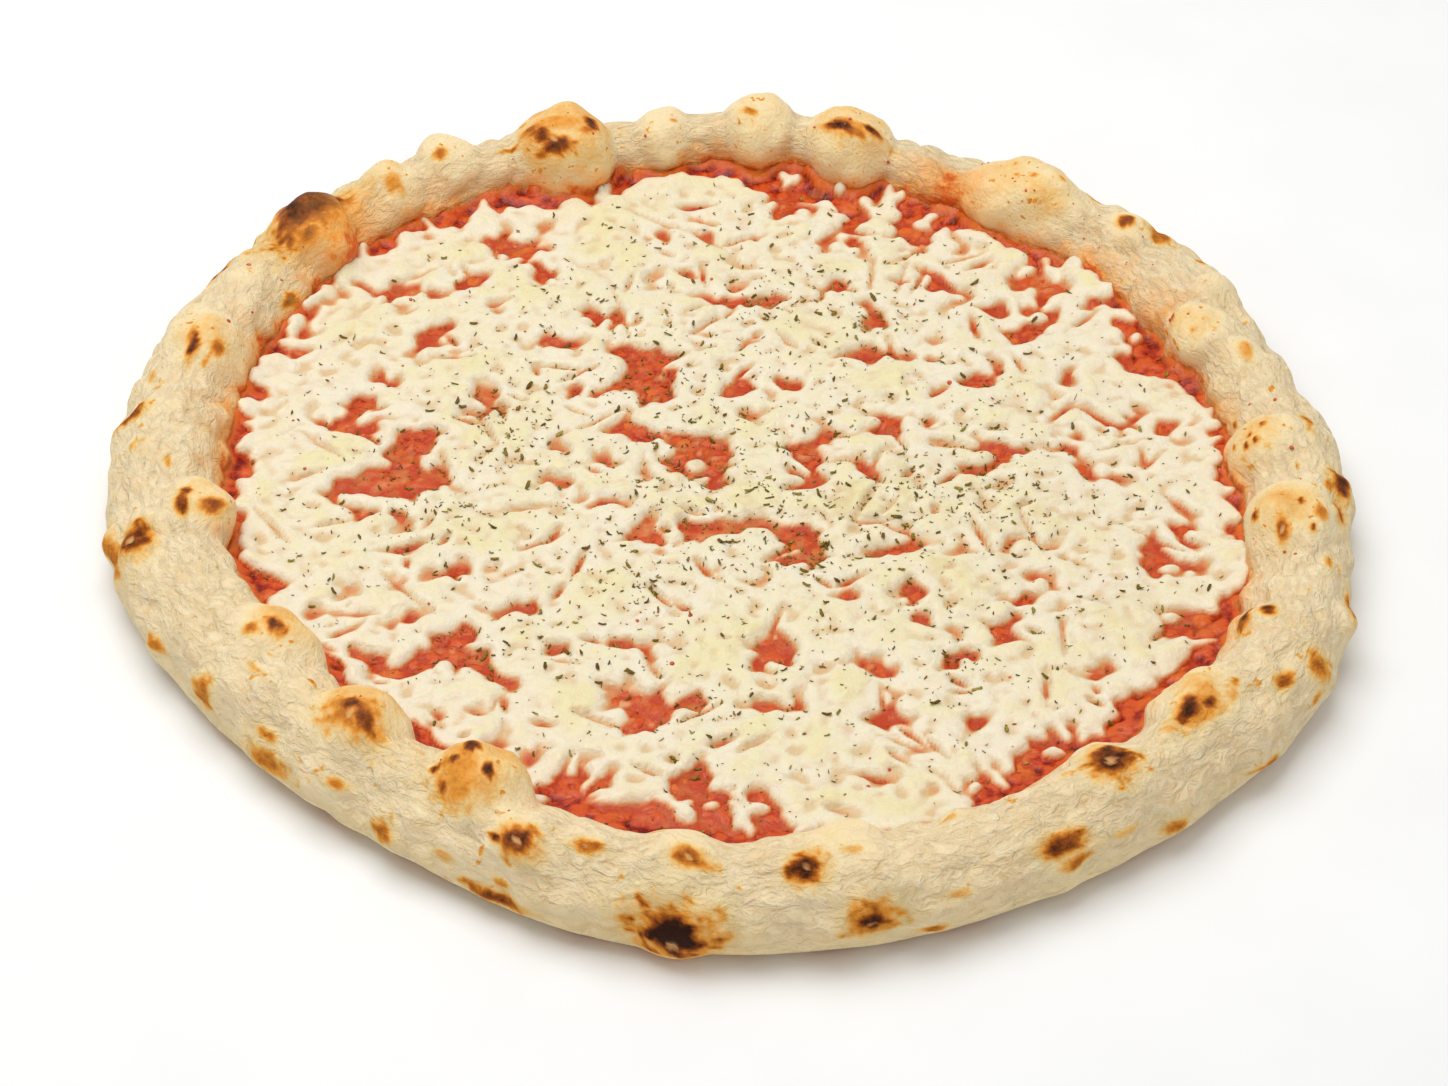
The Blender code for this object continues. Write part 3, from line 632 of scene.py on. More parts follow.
def open_room(x, y):
    """Distance to the nearest gap or to the cheese's outer edge, below 0 where there is no cheese."""
    flat = np.stack([x, y, np.zeros_like(x)], axis=-1)
    outside = np.hypot(x, y) - around(CHEESE_EDGE, np.degrees(np.arctan2(y, x)) % 360.0)
    outside += 3.5 * waves(flat, 8.0, 53.0) - 4.5
    return np.minimum(clearance(GAPS, x, y)[0], -outside)


@functools.lru_cache(maxsize=None)
def toppings():
    """Height of the sauce and the cheese, its thickness and its creases, over one square grid."""
    _, x, y = field_axes()
    flat = np.stack([x, y, np.zeros_like(x)], axis=-1)
    degrees_round = np.degrees(np.arctan2(y, x)) % 360.0
    sauce = sauce_height(x, y)

    relief = shred_relief()
    melted = blur(relief, 0.85)
    pooled = blur(relief, 3.4)
    room = open_room(x, y)
    inland = smooth_step(0.5, 5.0, room)
    broad = waves(flat, 24.0, 9.0) + 0.5 * waves(flat, 11.0, 13.0)
    pad = smooth_step(-0.05, 0.4, broad) * inland
    mounds = SMALL_MOUND_HEIGHT * np.abs(waves(flat, 9.0, 117.0)) - 0.3
    body = soft_union(melted, pooled + pad * mounds - 0.95 + 0.75 * np.maximum(pad, 0.6 * inland), 0.8)
    thickness = 1.3 * body - 0.1 + 0.3 * pad
    thickness += 0.4 * waves(flat, 14.0, 33.0) * smooth_step(0.0, 4.0, room)

    slit = clearance(slits(), x, y)[0]
    cleft = smooth_step(0.9, -0.5, slit)
    thickness = thickness * (1.0 - cleft) + cleft * (0.15 + 0.5 * waves(flat, 6.0, 121.0))
    film = clearance(GAPS, x, y)[1]
    crumbs = 0.5 * smooth_step(0.15, 0.5, waves(flat, 2.6, 73.0)) - 0.12
    crumbs += 0.3 * smooth_step(0.0, 0.5, waves(flat, 7.0, 127.0)) * smooth_step(-1.0, 2.0, room)
    veil = np.where(film > 0.0, film * (0.55 + 0.7 * waves(flat, 5.0, 79.0)), crumbs)
    inner = np.hypot(x, y) < wall_radius(degrees_round) - 9.0
    thickness = np.where(inner, np.maximum(thickness, veil), thickness)
    thickness = np.where(thickness > 0.0, 4.6 * np.tanh(thickness / 4.6), thickness)
    thickness = np.clip(blur(thickness, 0.45), -1.3, 4.6)
    ground = np.maximum(blur(sauce, 2.5), sauce - 0.2)
    top = ground + np.maximum(thickness, 0.0)
    # How hollow the top is: the cheese paints its creases with shade from this, and the herbs settle in it.
    hollow = 2.0 * (blur(top, 1.4) - top) + 0.6 * (blur(top, 4.0) - top)
    # How far the sauce stands above its surroundings, which its material turns into painted light on top
    # and painted shade in the hollows.
    stands = 0.5 + 1.1 * (sauce - blur(sauce, 2.5))
    return {"sauce": sauce, "cheese": ground + thickness, "thickness": thickness, "pad": pad,
            "hollow": np.clip(hollow, 0.0, 0.6), "stands": np.clip(stands, 0.0, 1.0)}


# ---- building blocks -----------------------------------------------------------------------
def add_node(tree, kind, settings=None, links=None):
    """Adds a node, sets its properties, and fills its sockets with values or links."""
    made = tree.nodes.new(kind)
    for name, value in (settings or {}).items():
        setattr(made, name, value)
    for socket, value in (links or {}).items():
        if isinstance(value, bpy.types.NodeSocket):
            tree.links.new(value, made.inputs[socket])
        else:
            made.inputs[socket].default_value = value
    return made


def new_material(name):
    """An empty material with a Principled shader wired to its output."""
    material = bpy.data.materials.new(name)
    material.use_nodes = True
    return material, material.node_tree, material.node_tree.nodes["Principled BSDF"]


def set_ramp(node, stops):
    """Gives a Color Ramp its stops: place and colour."""
    ramp = node.color_ramp
    while len(ramp.elements) > 1:
        ramp.elements.remove(ramp.elements[-1])
    ramp.elements[0].position = stops[0][0]
    ramp.elements[0].color = stops[0][1]
    for place, color in stops[1:]:
        ramp.elements.new(place).color = color
    return node.outputs["Color"]


def read_points(mesh):
    points = np.empty(len(mesh.vertices) * 3)
    mesh.vertices.foreach_get("co", points)
    return points.reshape(-1, 3)


def write_points(mesh, points):
    mesh.vertices.foreach_set("co", np.asarray(points, float).ravel())
    mesh.update()


def paint(mesh, name, values):
    """Stores one number for each point, for the material to read."""
    layer = mesh.attributes.new(name, "FLOAT", "POINT")
    layer.data.foreach_set("value", np.asarray(values, np.float32).ravel())


def start_piece():
    """Leaves edit mode and deselects everything, so an operator acts on the new piece alone."""
    if bpy.context.object and bpy.context.object.mode != "OBJECT":
        bpy.ops.object.mode_set(mode="OBJECT")
    bpy.ops.object.select_all(action="DESELECT")


def select_faces(mesh, chosen):
    """Selects faces by number, in object mode, and nothing else."""
    for group in (mesh.vertices, mesh.edges):
        group.foreach_set("select", np.zeros(len(group), bool))
    mesh.polygons.foreach_set("select", chosen)


def close_below(piece, bottom):
    """Gives an open sheet upright sides from its free edges and a flat underside."""
    bpy.ops.object.mode_set(mode="EDIT")
    bpy.ops.mesh.select_mode(type="EDGE")
    bpy.ops.mesh.select_all(action="DESELECT")
    bpy.ops.mesh.select_non_manifold(extend=False, use_wire=False, use_boundary=True,
                                     use_multi_face=False, use_non_contiguous=False,
                                     use_verts=False)
    bpy.ops.mesh.extrude_edges_move()
    bpy.ops.transform.resize(value=(1.0, 1.0, 0.0), center_override=(0.0, 0.0, bottom))
    bpy.ops.mesh.fill(use_beauty=False)
    bpy.ops.mesh.select_all(action="SELECT")
    bpy.ops.mesh.normals_make_consistent(inside=False)
    bpy.ops.object.mode_set(mode="OBJECT")


def finish_piece(piece, material, node=None):
    """Applies the place, shades it smooth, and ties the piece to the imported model."""
    bpy.ops.object.transform_apply(location=True, rotation=True, scale=True)
    bpy.ops.object.shade_smooth()
    piece.data.materials.clear()
    piece.data.materials.append(material)
    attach(piece, BODY)
    if node:
        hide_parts(node)


# ---- materials -----------------------------------------------------------------------------
def dough_material(look):
    """Wheat dough baked on stone: dry and matt under its flour, satin where a bubble swelled."""
    material, tree, shader = new_material("Stone_baked_wheat_dough")
    place = add_node(tree, "ShaderNodeTexCoord").outputs["Object"]
    flour = add_node(tree, "ShaderNodeAttribute", {"attribute_name": "flour"}).outputs["Fac"]
    baked = add_node(tree, "ShaderNodeAttribute", {"attribute_name": "baked"}).outputs["Fac"]
    oil = add_node(tree, "ShaderNodeAttribute", {"attribute_name": "oil"}).outputs["Fac"]
    torn = add_node(tree, "ShaderNodeAttribute", {"attribute_name": "torn"}).outputs["Fac"]

    # Flour dries into a skin that crinkles every 1 mm, in creases 3 mm long that run round the rim.
    centred = add_node(tree, "ShaderNodeVectorMath", {"operation": "MULTIPLY"},
                       {0: place, 1: (1.0, 1.0, 0.0)}).outputs["Vector"]
    shifted = add_node(tree, "ShaderNodeVectorMath", {"operation": "SUBTRACT"},
                       {0: centred, 1: (*(value * MM for value in ring_shift()), 0.0)}).outputs["Vector"]
    direction = add_node(tree, "ShaderNodeVectorMath", {"operation": "NORMALIZE"},
                         {0: shifted}).outputs["Vector"]
    along = add_node(tree, "ShaderNodeVectorMath", {"operation": "SCALE"},
                     {0: direction, "Scale": 0.145}).outputs["Vector"]
    across = add_node(tree, "ShaderNodeAttribute", {"attribute_name": "across"}).outputs["Fac"]
    lengthened = add_node(tree, "ShaderNodeMath", {"operation": "MULTIPLY"},
                          {0: across, 1: 1.7 * MM}).outputs["Value"]
    upward = add_node(tree, "ShaderNodeCombineXYZ", {}, {"Z": lengthened}).outputs["Vector"]
    wrapped = add_node(tree, "ShaderNodeVectorMath", {"operation": "ADD"},
                       {0: along, 1: upward}).outputs["Vector"]
    crinkle = add_node(tree, "ShaderNodeTexNoise", {},
                       {"Vector": wrapped, "Scale": per_size(4.0), "Detail": 4.0,
                        "Roughness": 0.58, "Distortion": 1.2}).outputs["Fac"]
    blotch = add_node(tree, "ShaderNodeTexNoise", {},
                      {"Vector": place, "Scale": per_size(11.0), "Detail": 4.0,
                       "Roughness": 0.55}).outputs["Fac"]
    powder = add_node(tree, "ShaderNodeTexNoise", {},
                      {"Vector": place, "Scale": per_size(0.9), "Detail": 2.0}).outputs["Fac"]

    # Painted light and shade: the crinkle's ridges take the flour colour and its valleys the darker bare
    # dough colour. The blotches between those two colours are the dough's own uneven tone.
    pale = add_node(tree, "ShaderNodeMix", {"data_type": "RGBA"},
                    {"Factor": blotch, "A": look.shade, "B": look.flour})
    crinkle_shading = add_node(tree, "ShaderNodeMapRange", {},
                     {"Value": crinkle, "From Min": 0.35, "From Max": 0.65, "To Min": 0.0,
                      "To Max": 0.8}).outputs["Result"]
    floured_crinkle_shaded = add_node(tree, "ShaderNodeMix", {"data_type": "RGBA"},
                       {"Factor": crinkle_shading, "A": pale.outputs["Result"], "B": look.flour})
    skin = add_node(tree, "ShaderNodeMix", {"data_type": "RGBA"},
                    {"Factor": blotch, "A": look.skin, "B": linear("#F6E2B8")})
    dough = add_node(tree, "ShaderNodeMix", {"data_type": "RGBA"},
                     {"Factor": flour, "A": skin.outputs["Result"],
                      "B": floured_crinkle_shaded.outputs["Result"]})

    # The heat works unevenly: it catches the crinkles' ridges, so browning breaks up into streaks.
    uneven = add_node(tree, "ShaderNodeTexNoise", {},
                      {"Vector": place, "Scale": per_size(2.6), "Detail": 4.0,
                       "Roughness": 0.65}).outputs["Fac"]
    streaked = add_node(tree, "ShaderNodeMath", {"operation": "MULTIPLY_ADD"},
                        {0: crinkle, 1: 0.4, 2: uneven}).outputs["Value"]
    push = add_node(tree, "ShaderNodeMath", {"operation": "MULTIPLY_ADD"},
                    {0: streaked, 1: 0.85, 2: 0.4}).outputs["Value"]
    even = add_node(tree, "ShaderNodeMath", {"operation": "MULTIPLY"},
                    {0: baked, 1: push}).outputs["Value"]
    smudge = add_node(tree, "ShaderNodeTexNoise", {},
                      {"Vector": place, "Scale": per_size(5.0), "Detail": 3.0,
                       "Roughness": 0.6}).outputs["Fac"]
    flecks = add_node(tree, "ShaderNodeMapRange", {"interpolation_type": "SMOOTHSTEP"},
                      {"Value": smudge, "From Min": 0.58, "From Max": 0.72, "To Min": 0.0,
                       "To Max": 0.42}).outputs["Result"]
    patches = add_node(tree, "ShaderNodeMapRange", {"interpolation_type": "SMOOTHSTEP"},
                       {"Value": blotch, "From Min": 0.45, "From Max": 0.58, "To Min": 0.2,
                        "To Max": 1.0}).outputs["Result"]
    flecked = add_node(tree, "ShaderNodeMath", {"operation": "MULTIPLY"},
                       {0: flecks, 1: patches}).outputs["Value"]
    speck = add_node(tree, "ShaderNodeTexNoise", {},
                     {"Vector": place, "Scale": per_size(2.2), "Detail": 1.0}).outputs["Fac"]
    specks = add_node(tree, "ShaderNodeMapRange", {"interpolation_type": "SMOOTHSTEP"},
                      {"Value": speck, "From Min": 0.66, "From Max": 0.74, "To Min": 0.0,
                       "To Max": 0.52}).outputs["Result"]
    bare = add_node(tree, "ShaderNodeMath", {"operation": "SUBTRACT", "use_clamp": True},
                    {0: 1.05, 1: flour}).outputs["Value"]
    dotted = add_node(tree, "ShaderNodeMath", {"operation": "MULTIPLY"},
                      {0: specks, 1: bare}).outputs["Value"]
    spotted = add_node(tree, "ShaderNodeMath", {"operation": "MAXIMUM"},
                       {0: dotted, 1: flecked}).outputs["Value"]
    depth = add_node(tree, "ShaderNodeMath", {"operation": "MAXIMUM", "use_clamp": True},
                     {0: even, 1: spotted}).outputs["Value"]
    # The baked attribute also carries painted shade, a warm tone on the rim's outer lower side, and painted
    # light, less gold on the bubbles' lower sides.
    brown = set_ramp(add_node(tree, "ShaderNodeValToRGB", {}, {"Fac": depth}), (
        (0.0, linear("#F6E6C0")), (0.14, linear("#F2DCA8")), (0.27, linear("#F0C67E")),
        (0.42, linear("#E89C3A")), (0.56, linear("#C47424")), (0.7, linear("#9A5018")),
        (0.85, linear("#6A3410")), (1.0, linear("#34180A"))))
    shown = add_node(tree, "ShaderNodeMapRange", {"interpolation_type": "SMOOTHSTEP"},
                     {"Value": depth, "From Min": 0.03, "From Max": 0.28, "To Min": 0.0,
                      "To Max": 1.0}).outputs["Result"]
    toasted_and_warm_shade = add_node(tree, "ShaderNodeMix", {"data_type": "RGBA"},
                       {"Factor": shown, "A": dough.outputs["Result"], "B": brown})
    opened = add_node(tree, "ShaderNodeMix", {"data_type": "RGBA"},
                      {"Factor": torn, "A": toasted_and_warm_shade.outputs["Result"], "B": linear("#CFA472")})
    soak = add_node(tree, "ShaderNodeMath", {"operation": "MULTIPLY", "use_clamp": True},
                    {0: oil, 1: push}).outputs["Value"]
    oiled = add_node(tree, "ShaderNodeMix", {"data_type": "RGBA"},
                     {"Factor": soak, "A": opened.outputs["Result"], "B": look.oil})
    smeared = add_node(tree, "ShaderNodeMapRange", {"interpolation_type": "SMOOTHSTEP"},
                       {"Value": soak, "From Min": 0.7, "From Max": 1.0, "To Min": 0.0,
                        "To Max": 0.85}).outputs["Result"]
    sauced = add_node(tree, "ShaderNodeMix", {"data_type": "RGBA"},
                      {"Factor": smeared, "A": oiled.outputs["Result"], "B": linear("#E0561E")})
    tree.links.new(sauced.outputs["Result"], shader.inputs["Base Color"])

    dry = add_node(tree, "ShaderNodeMapRange", {},
                   {"Value": flour, "From Min": 0.0, "From Max": 1.0, "To Min": 0.4,
                    "To Max": 0.86}).outputs["Result"]
    wet = add_node(tree, "ShaderNodeMath", {"operation": "MULTIPLY_ADD", "use_clamp": True},
                   {0: soak, 1: -0.3, 2: dry}).outputs["Value"]
    tree.links.new(wet, shader.inputs["Roughness"])

    loose = add_node(tree, "ShaderNodeMath", {"operation": "MULTIPLY_ADD"},
                     {0: flour, 1: 0.95, 2: 0.25}).outputs["Value"]
    wrinkled = add_node(tree, "ShaderNodeMath", {"operation": "MULTIPLY"},
                        {0: crinkle, 1: loose}).outputs["Value"]
    grain = add_node(tree, "ShaderNodeMath", {"operation": "MULTIPLY_ADD"},
                     {0: powder, 1: 0.22, 2: wrinkled}).outputs["Value"]
    bump = add_node(tree, "ShaderNodeBump", {}, {"Strength": 1.0, "Distance": 0.0016,
                                                 "Height": grain}).outputs["Normal"]
    tree.links.new(bump, shader.inputs["Normal"])
    shader.inputs["IOR"].default_value = 1.4
    shader.inputs["Specular IOR Level"].default_value = 0.2
    shader.inputs["Subsurface Weight"].default_value = 0.3
    shader.inputs["Subsurface Radius"].default_value = (1.0, 0.55, 0.25)
    shader.inputs["Subsurface Scale"].default_value = 0.0015
    return material


def sauce_material(look):
    """Cooked tomato pulp: wet and glossy, orange where oil has parted; painted shade darkens its hollows
    and painted light brightens the pulp that stands up.
    """
    material, tree, shader = new_material("Cooked_tomato_pulp")
    place = add_node(tree, "ShaderNodeTexCoord").outputs["Object"]
    pulp = add_node(tree, "ShaderNodeTexNoise", {},
                    {"Vector": place, "Scale": per_size(3.4), "Detail": 4.0, "Roughness": 0.6,
                     "Distortion": 0.6}).outputs["Fac"]
    shreds = add_node(tree, "ShaderNodeTexVoronoi", {"feature": "F1"},
                      {"Vector": place, "Scale": per_size(2.4)}).outputs["Distance"]
    mix = add_node(tree, "ShaderNodeMath", {"operation": "MULTIPLY_ADD"},
                   {0: shreds, 1: 0.25, 2: pulp}).outputs["Value"]
    stands = add_node(tree, "ShaderNodeAttribute", {"attribute_name": "stands"}).outputs["Fac"]
    # Painted light and shade: pulp that stands up is painted brighter and the hollows darker, over the
    # pulp's own uneven tone.
    lit = add_node(tree, "ShaderNodeMath", {"operation": "MULTIPLY_ADD"},
                   {0: stands, 1: 0.6, 2: mix}).outputs["Value"]
    color = set_ramp(add_node(tree, "ShaderNodeValToRGB", {}, {"Fac": lit}), (
        (0.62, look.dark), (0.82, look.red), (1.0, look.bright)))
    oil = add_node(tree, "ShaderNodeAttribute", {"attribute_name": "oil"}).outputs["Fac"]
    oiled = add_node(tree, "ShaderNodeMix", {"data_type": "RGBA"},
                     {"Factor": oil, "A": color, "B": look.oil})
    tree.links.new(oiled.outputs["Result"], shader.inputs["Base Color"])
    bump = add_node(tree, "ShaderNodeBump", {}, {"Strength": 0.8, "Distance": 0.0008,
                                                 "Height": mix}).outputs["Normal"]
    tree.links.new(bump, shader.inputs["Normal"])
    gloss = add_node(tree, "ShaderNodeMapRange", {},
                     {"Value": pulp, "From Min": 0.3, "From Max": 0.7, "To Min": 0.14,
                      "To Max": 0.32}).outputs["Result"]
    tree.links.new(gloss, shader.inputs["Roughness"])
    shader.inputs["IOR"].default_value = 1.38
    shader.inputs["Specular IOR Level"].default_value = 0.4
    shader.inputs["Subsurface Weight"].default_value = 0.15
    shader.inputs["Subsurface Radius"].default_value = (1.0, 0.25, 0.1)
    shader.inputs["Subsurface Scale"].default_value = 0.002
    return material


def cheese_material(look):
    """Melted mozzarella: milky and softly glossy, pink where it is thin over the sauce."""
    material, tree, shader = new_material("Melted_mozzarella")
    place = add_node(tree, "ShaderNodeTexCoord").outputs["Object"]
    thick = add_node(tree, "ShaderNodeAttribute", {"attribute_name": "thickness"}).outputs["Fac"]
    stain = add_node(tree, "ShaderNodeAttribute", {"attribute_name": "stain"}).outputs["Fac"]
    hollow = add_node(tree, "ShaderNodeAttribute", {"attribute_name": "hollow"}).outputs["Fac"]
    cloud = add_node(tree, "ShaderNodeTexNoise", {},
                     {"Vector": place, "Scale": per_size(6.0), "Detail": 4.0,
                      "Roughness": 0.6}).outputs["Fac"]
    shift = add_node(tree, "ShaderNodeMath", {"operation": "MULTIPLY_ADD"},
                     {0: cloud, 1: 0.3, 2: -0.15}).outputs["Value"]
    depth = add_node(tree, "ShaderNodeMath", {"operation": "ADD"},
                     {0: thick, 1: shift}).outputs["Value"]
    # Thickness from 0 to 3.2 mm runs from soaked orange over pink to cream and butter yellow.
    color = set_ramp(add_node(tree, "ShaderNodeValToRGB", {}, {"Fac": depth}), (
        (0.0, linear("#C8481A")), (0.05, linear("#D8703C")), (0.12, linear("#E29C70")),
        (0.22, linear("#EAC6A0")), (0.36, look.cream), (0.66, look.cream), (0.95, look.butter)))
    # Fat gathers in places some 20 mm apart and turns the cheese butter yellow.
    fatty = add_node(tree, "ShaderNodeTexNoise", {},
                     {"Vector": place, "Scale": per_size(20.0), "Detail": 2.0}).outputs["Fac"]
    fat = add_node(tree, "ShaderNodeMapRange", {"interpolation_type": "SMOOTHSTEP"},
                   {"Value": fatty, "From Min": 0.45, "From Max": 0.65, "To Min": 0.0,
                    "To Max": 0.45}).outputs["Result"]
    fatted = add_node(tree, "ShaderNodeMath", {"operation": "MULTIPLY"}, {0: fat, 1: thick})
    buttery = add_node(tree, "ShaderNodeMix", {"data_type": "RGBA"},
                       {"Factor": fatted.outputs["Value"], "A": color, "B": look.butter})
    herbal = add_node(tree, "ShaderNodeMix", {"data_type": "RGBA"},
                      {"Factor": stain, "A": buttery.outputs["Result"], "B": look.herbal})
    # Painted shade: the creases between shreds and the low spots of the wrinkle noise are darkened and
    # turned tan, partly for the oil and whey that gather there.
    wrinkle = add_node(tree, "ShaderNodeTexNoise", {},
                       {"Vector": place, "Scale": per_size(3.2), "Detail": 3.0,
                        "Roughness": 0.6, "Distortion": 1.0}).outputs["Fac"]
    fold_shade = add_node(tree, "ShaderNodeMapRange", {"interpolation_type": "SMOOTHSTEP"},
                    {"Value": wrinkle, "From Min": 0.36, "From Max": 0.5, "To Min": 0.1,
                     "To Max": 0.0}).outputs["Result"]
    crease_shade = add_node(tree, "ShaderNodeMath", {"operation": "ADD", "use_clamp": True},
                       {0: hollow, 1: fold_shade}).outputs["Value"]
    crease_shaded = add_node(tree, "ShaderNodeMix", {"data_type": "RGBA", "blend_type": "MULTIPLY"},
                       {"Factor": crease_shade, "A": herbal.outputs["Result"], "B": look.crease})
    tree.links.new(crease_shaded.outputs["Result"], shader.inputs["Base Color"])
    fine = add_node(tree, "ShaderNodeTexNoise", {},
                    {"Vector": place, "Scale": per_size(2.0), "Detail": 3.0}).outputs["Fac"]
    skin = add_node(tree, "ShaderNodeMath", {"operation": "MULTIPLY_ADD"},
                    {0: fine, 1: 0.5, 2: wrinkle}).outputs["Value"]
    bump = add_node(tree, "ShaderNodeBump", {}, {"Strength": 0.6, "Distance": 0.0009,
                                                 "Height": skin}).outputs["Normal"]
    tree.links.new(bump, shader.inputs["Normal"])
    gloss = add_node(tree, "ShaderNodeMapRange", {},
                     {"Value": cloud, "From Min": 0.3, "From Max": 0.7, "To Min": 0.32,
                      "To Max": 0.5}).outputs["Result"]
    tree.links.new(gloss, shader.inputs["Roughness"])
    shader.inputs["IOR"].default_value = 1.4
    shader.inputs["Specular IOR Level"].default_value = 0.4
    shader.inputs["Subsurface Weight"].default_value = 0.4
    shader.inputs["Subsurface Radius"].default_value = (1.0, 0.55, 0.25)
    shader.inputs["Subsurface Scale"].default_value = 0.0014
    return material


def herb_material(look):
    """Rubbed oregano, dried and then oven-warmed: dark olive to brown, dull."""
    material, tree, shader = new_material("Dried_rubbed_oregano")
    shade = add_node(tree, "ShaderNodeAttribute", {"attribute_name": "shade"}).outputs["Fac"]
    color = set_ramp(add_node(tree, "ShaderNodeValToRGB", {}, {"Fac": shade}), (
        (0.0, look.dark), (0.4, linear("#90762E")), (0.7, look.olive), (1.0, look.pale)))
    place = add_node(tree, "ShaderNodeTexCoord").outputs["Object"]
    vein = add_node(tree, "ShaderNodeTexNoise", {},
                    {"Vector": place, "Scale": per_size(0.5), "Detail": 2.0}).outputs["Fac"]
    veined = set_ramp(add_node(tree, "ShaderNodeValToRGB", {}, {"Fac": vein}), (
        (0.35, linear("#C0B8A0")), (0.6, linear("#FFFFFF"))))
    mottled = add_node(tree, "ShaderNodeMix", {"data_type": "RGBA", "blend_type": "MULTIPLY"},
                       {"Factor": 1.0, "A": color, "B": veined})
    tree.links.new(mottled.outputs["Result"], shader.inputs["Base Color"])
    shader.inputs["Roughness"].default_value = 0.9
    shader.inputs["Specular IOR Level"].default_value = 0.1
    return material


def fleck_material(look):
    """Drops of sauce flung on the cheese and the rim: small, wet and red."""
    material, tree, shader = new_material("Splashed_tomato_sauce")
    place = add_node(tree, "ShaderNodeTexCoord").outputs["Object"]
    pulp = add_node(tree, "ShaderNodeTexNoise", {},
                    {"Vector": place, "Scale": per_size(1.5), "Detail": 2.0}).outputs["Fac"]
    color = set_ramp(add_node(tree, "ShaderNodeValToRGB", {}, {"Fac": pulp}), (
        (0.35, look.red), (0.65, linear("#DB6A35"))))
    tree.links.new(color, shader.inputs["Base Color"])
    shader.inputs["Roughness"].default_value = 0.3
    return material


def floor_material():
    """Matt white studio board: even, with no gloss of its own."""
    material, tree, shader = new_material("Matt_white_board")
    place = add_node(tree, "ShaderNodeTexCoord").outputs["Object"]
    fibre = add_node(tree, "ShaderNodeTexNoise", {},
                     {"Vector": place, "Scale": per_size(40.0)}).outputs["Fac"]
    color = set_ramp(add_node(tree, "ShaderNodeValToRGB", {}, {"Fac": fibre}), (
        (0.3, linear("#F4F4F3")), (0.7, linear("#F7F7F6"))))
    tree.links.new(color, shader.inputs["Base Color"])
    shader.inputs["Roughness"].default_value = 0.9
    shader.inputs["Specular IOR Level"].default_value = 0.1
    return material


# ---- settings ------------------------------------------------------------------------------
def color_setting(name, description, code):
    return FloatVectorProperty(name=name, description=description, subtype="COLOR", size=4,
                               min=0.0, max=1.0, default=linear(code))


class DoughSettings(bpy.types.PropertyGroup):
    flour: color_setting("Flour", "Floured dough in the light", "#F5E3BE")
    # Painted shade: besides bare dough in random blotches, this colour paints the crinkle's valleys as
    # shade.
    shade: color_setting("Bare dough", "Dough where the flour has worn off", "#DFB877")
    skin: color_setting("Bubble skin", "Pale side of a bubble", "#F3DAA8")
    oil: color_setting("Oil", "Oil and sauce soaked into the dough", "#F8A440")
    foot_relief: FloatProperty(name="Underside relief", default=0.00025, subtype="DISTANCE",
                               description="Unevenness of the flat underside")


class SauceSettings(bpy.types.PropertyGroup):
    # Painted shade and light: the dark colour paints the hollows as shade and the bright one the pulp that
    # stands up.
    dark: color_setting("Dark", "Sauce in hollows", "#741004")
    red: color_setting("Red", "Most of the sauce", "#B43410")
    bright: color_setting("Bright", "Pulp that stands up", "#D0541E")
    oil: color_setting("Oil", "Oil parted from the sauce", "#DE7426")


class CheeseSettings(bpy.types.PropertyGroup):
    cream: color_setting("Cream", "Cheese of middling thickness", "#ECE2C9")
    butter: color_setting("Butter", "Thick pads of cheese", "#E9DEB0")
    # Painted shade: this colour darkens the creases between shreds, with a tan tint for the oil there.
    crease: color_setting("Crease", "Oil in the creases between shreds", "#E6BF80")
    herbal: color_setting("Herb oil", "Cheese stained round the herbs", "#CDB070")


class HerbSettings(bpy.types.PropertyGroup):
    dark: color_setting("Dark", "Darkest flakes", "#70581E")
    olive: color_setting("Olive", "Olive flakes", "#A8983E")
    pale: color_setting("Pale", "Palest flakes", "#BEAC5C")
    loose: IntProperty(name="Loose flakes", default=LOOSE_HERBS, min=0,
                       description="Flakes scattered evenly, besides the clusters")


class StageSettings(bpy.types.PropertyGroup):
    distance: FloatProperty(name="Distance", default=0.85, subtype="DISTANCE",
                            description="From the camera to what it looks at")
    elevation: FloatProperty(name="Elevation", default=math.radians(42.2), subtype="ANGLE",
                             description="Height of the camera above the horizon")
    lens: FloatProperty(name="Lens", default=82.5, description="Focal length in millimetres")
    key: FloatProperty(name="Key light", default=8.3, subtype="POWER",
                       description="Power of the soft light above")
    sky: FloatProperty(name="Surroundings", default=0.47, description="Strength of the white room")


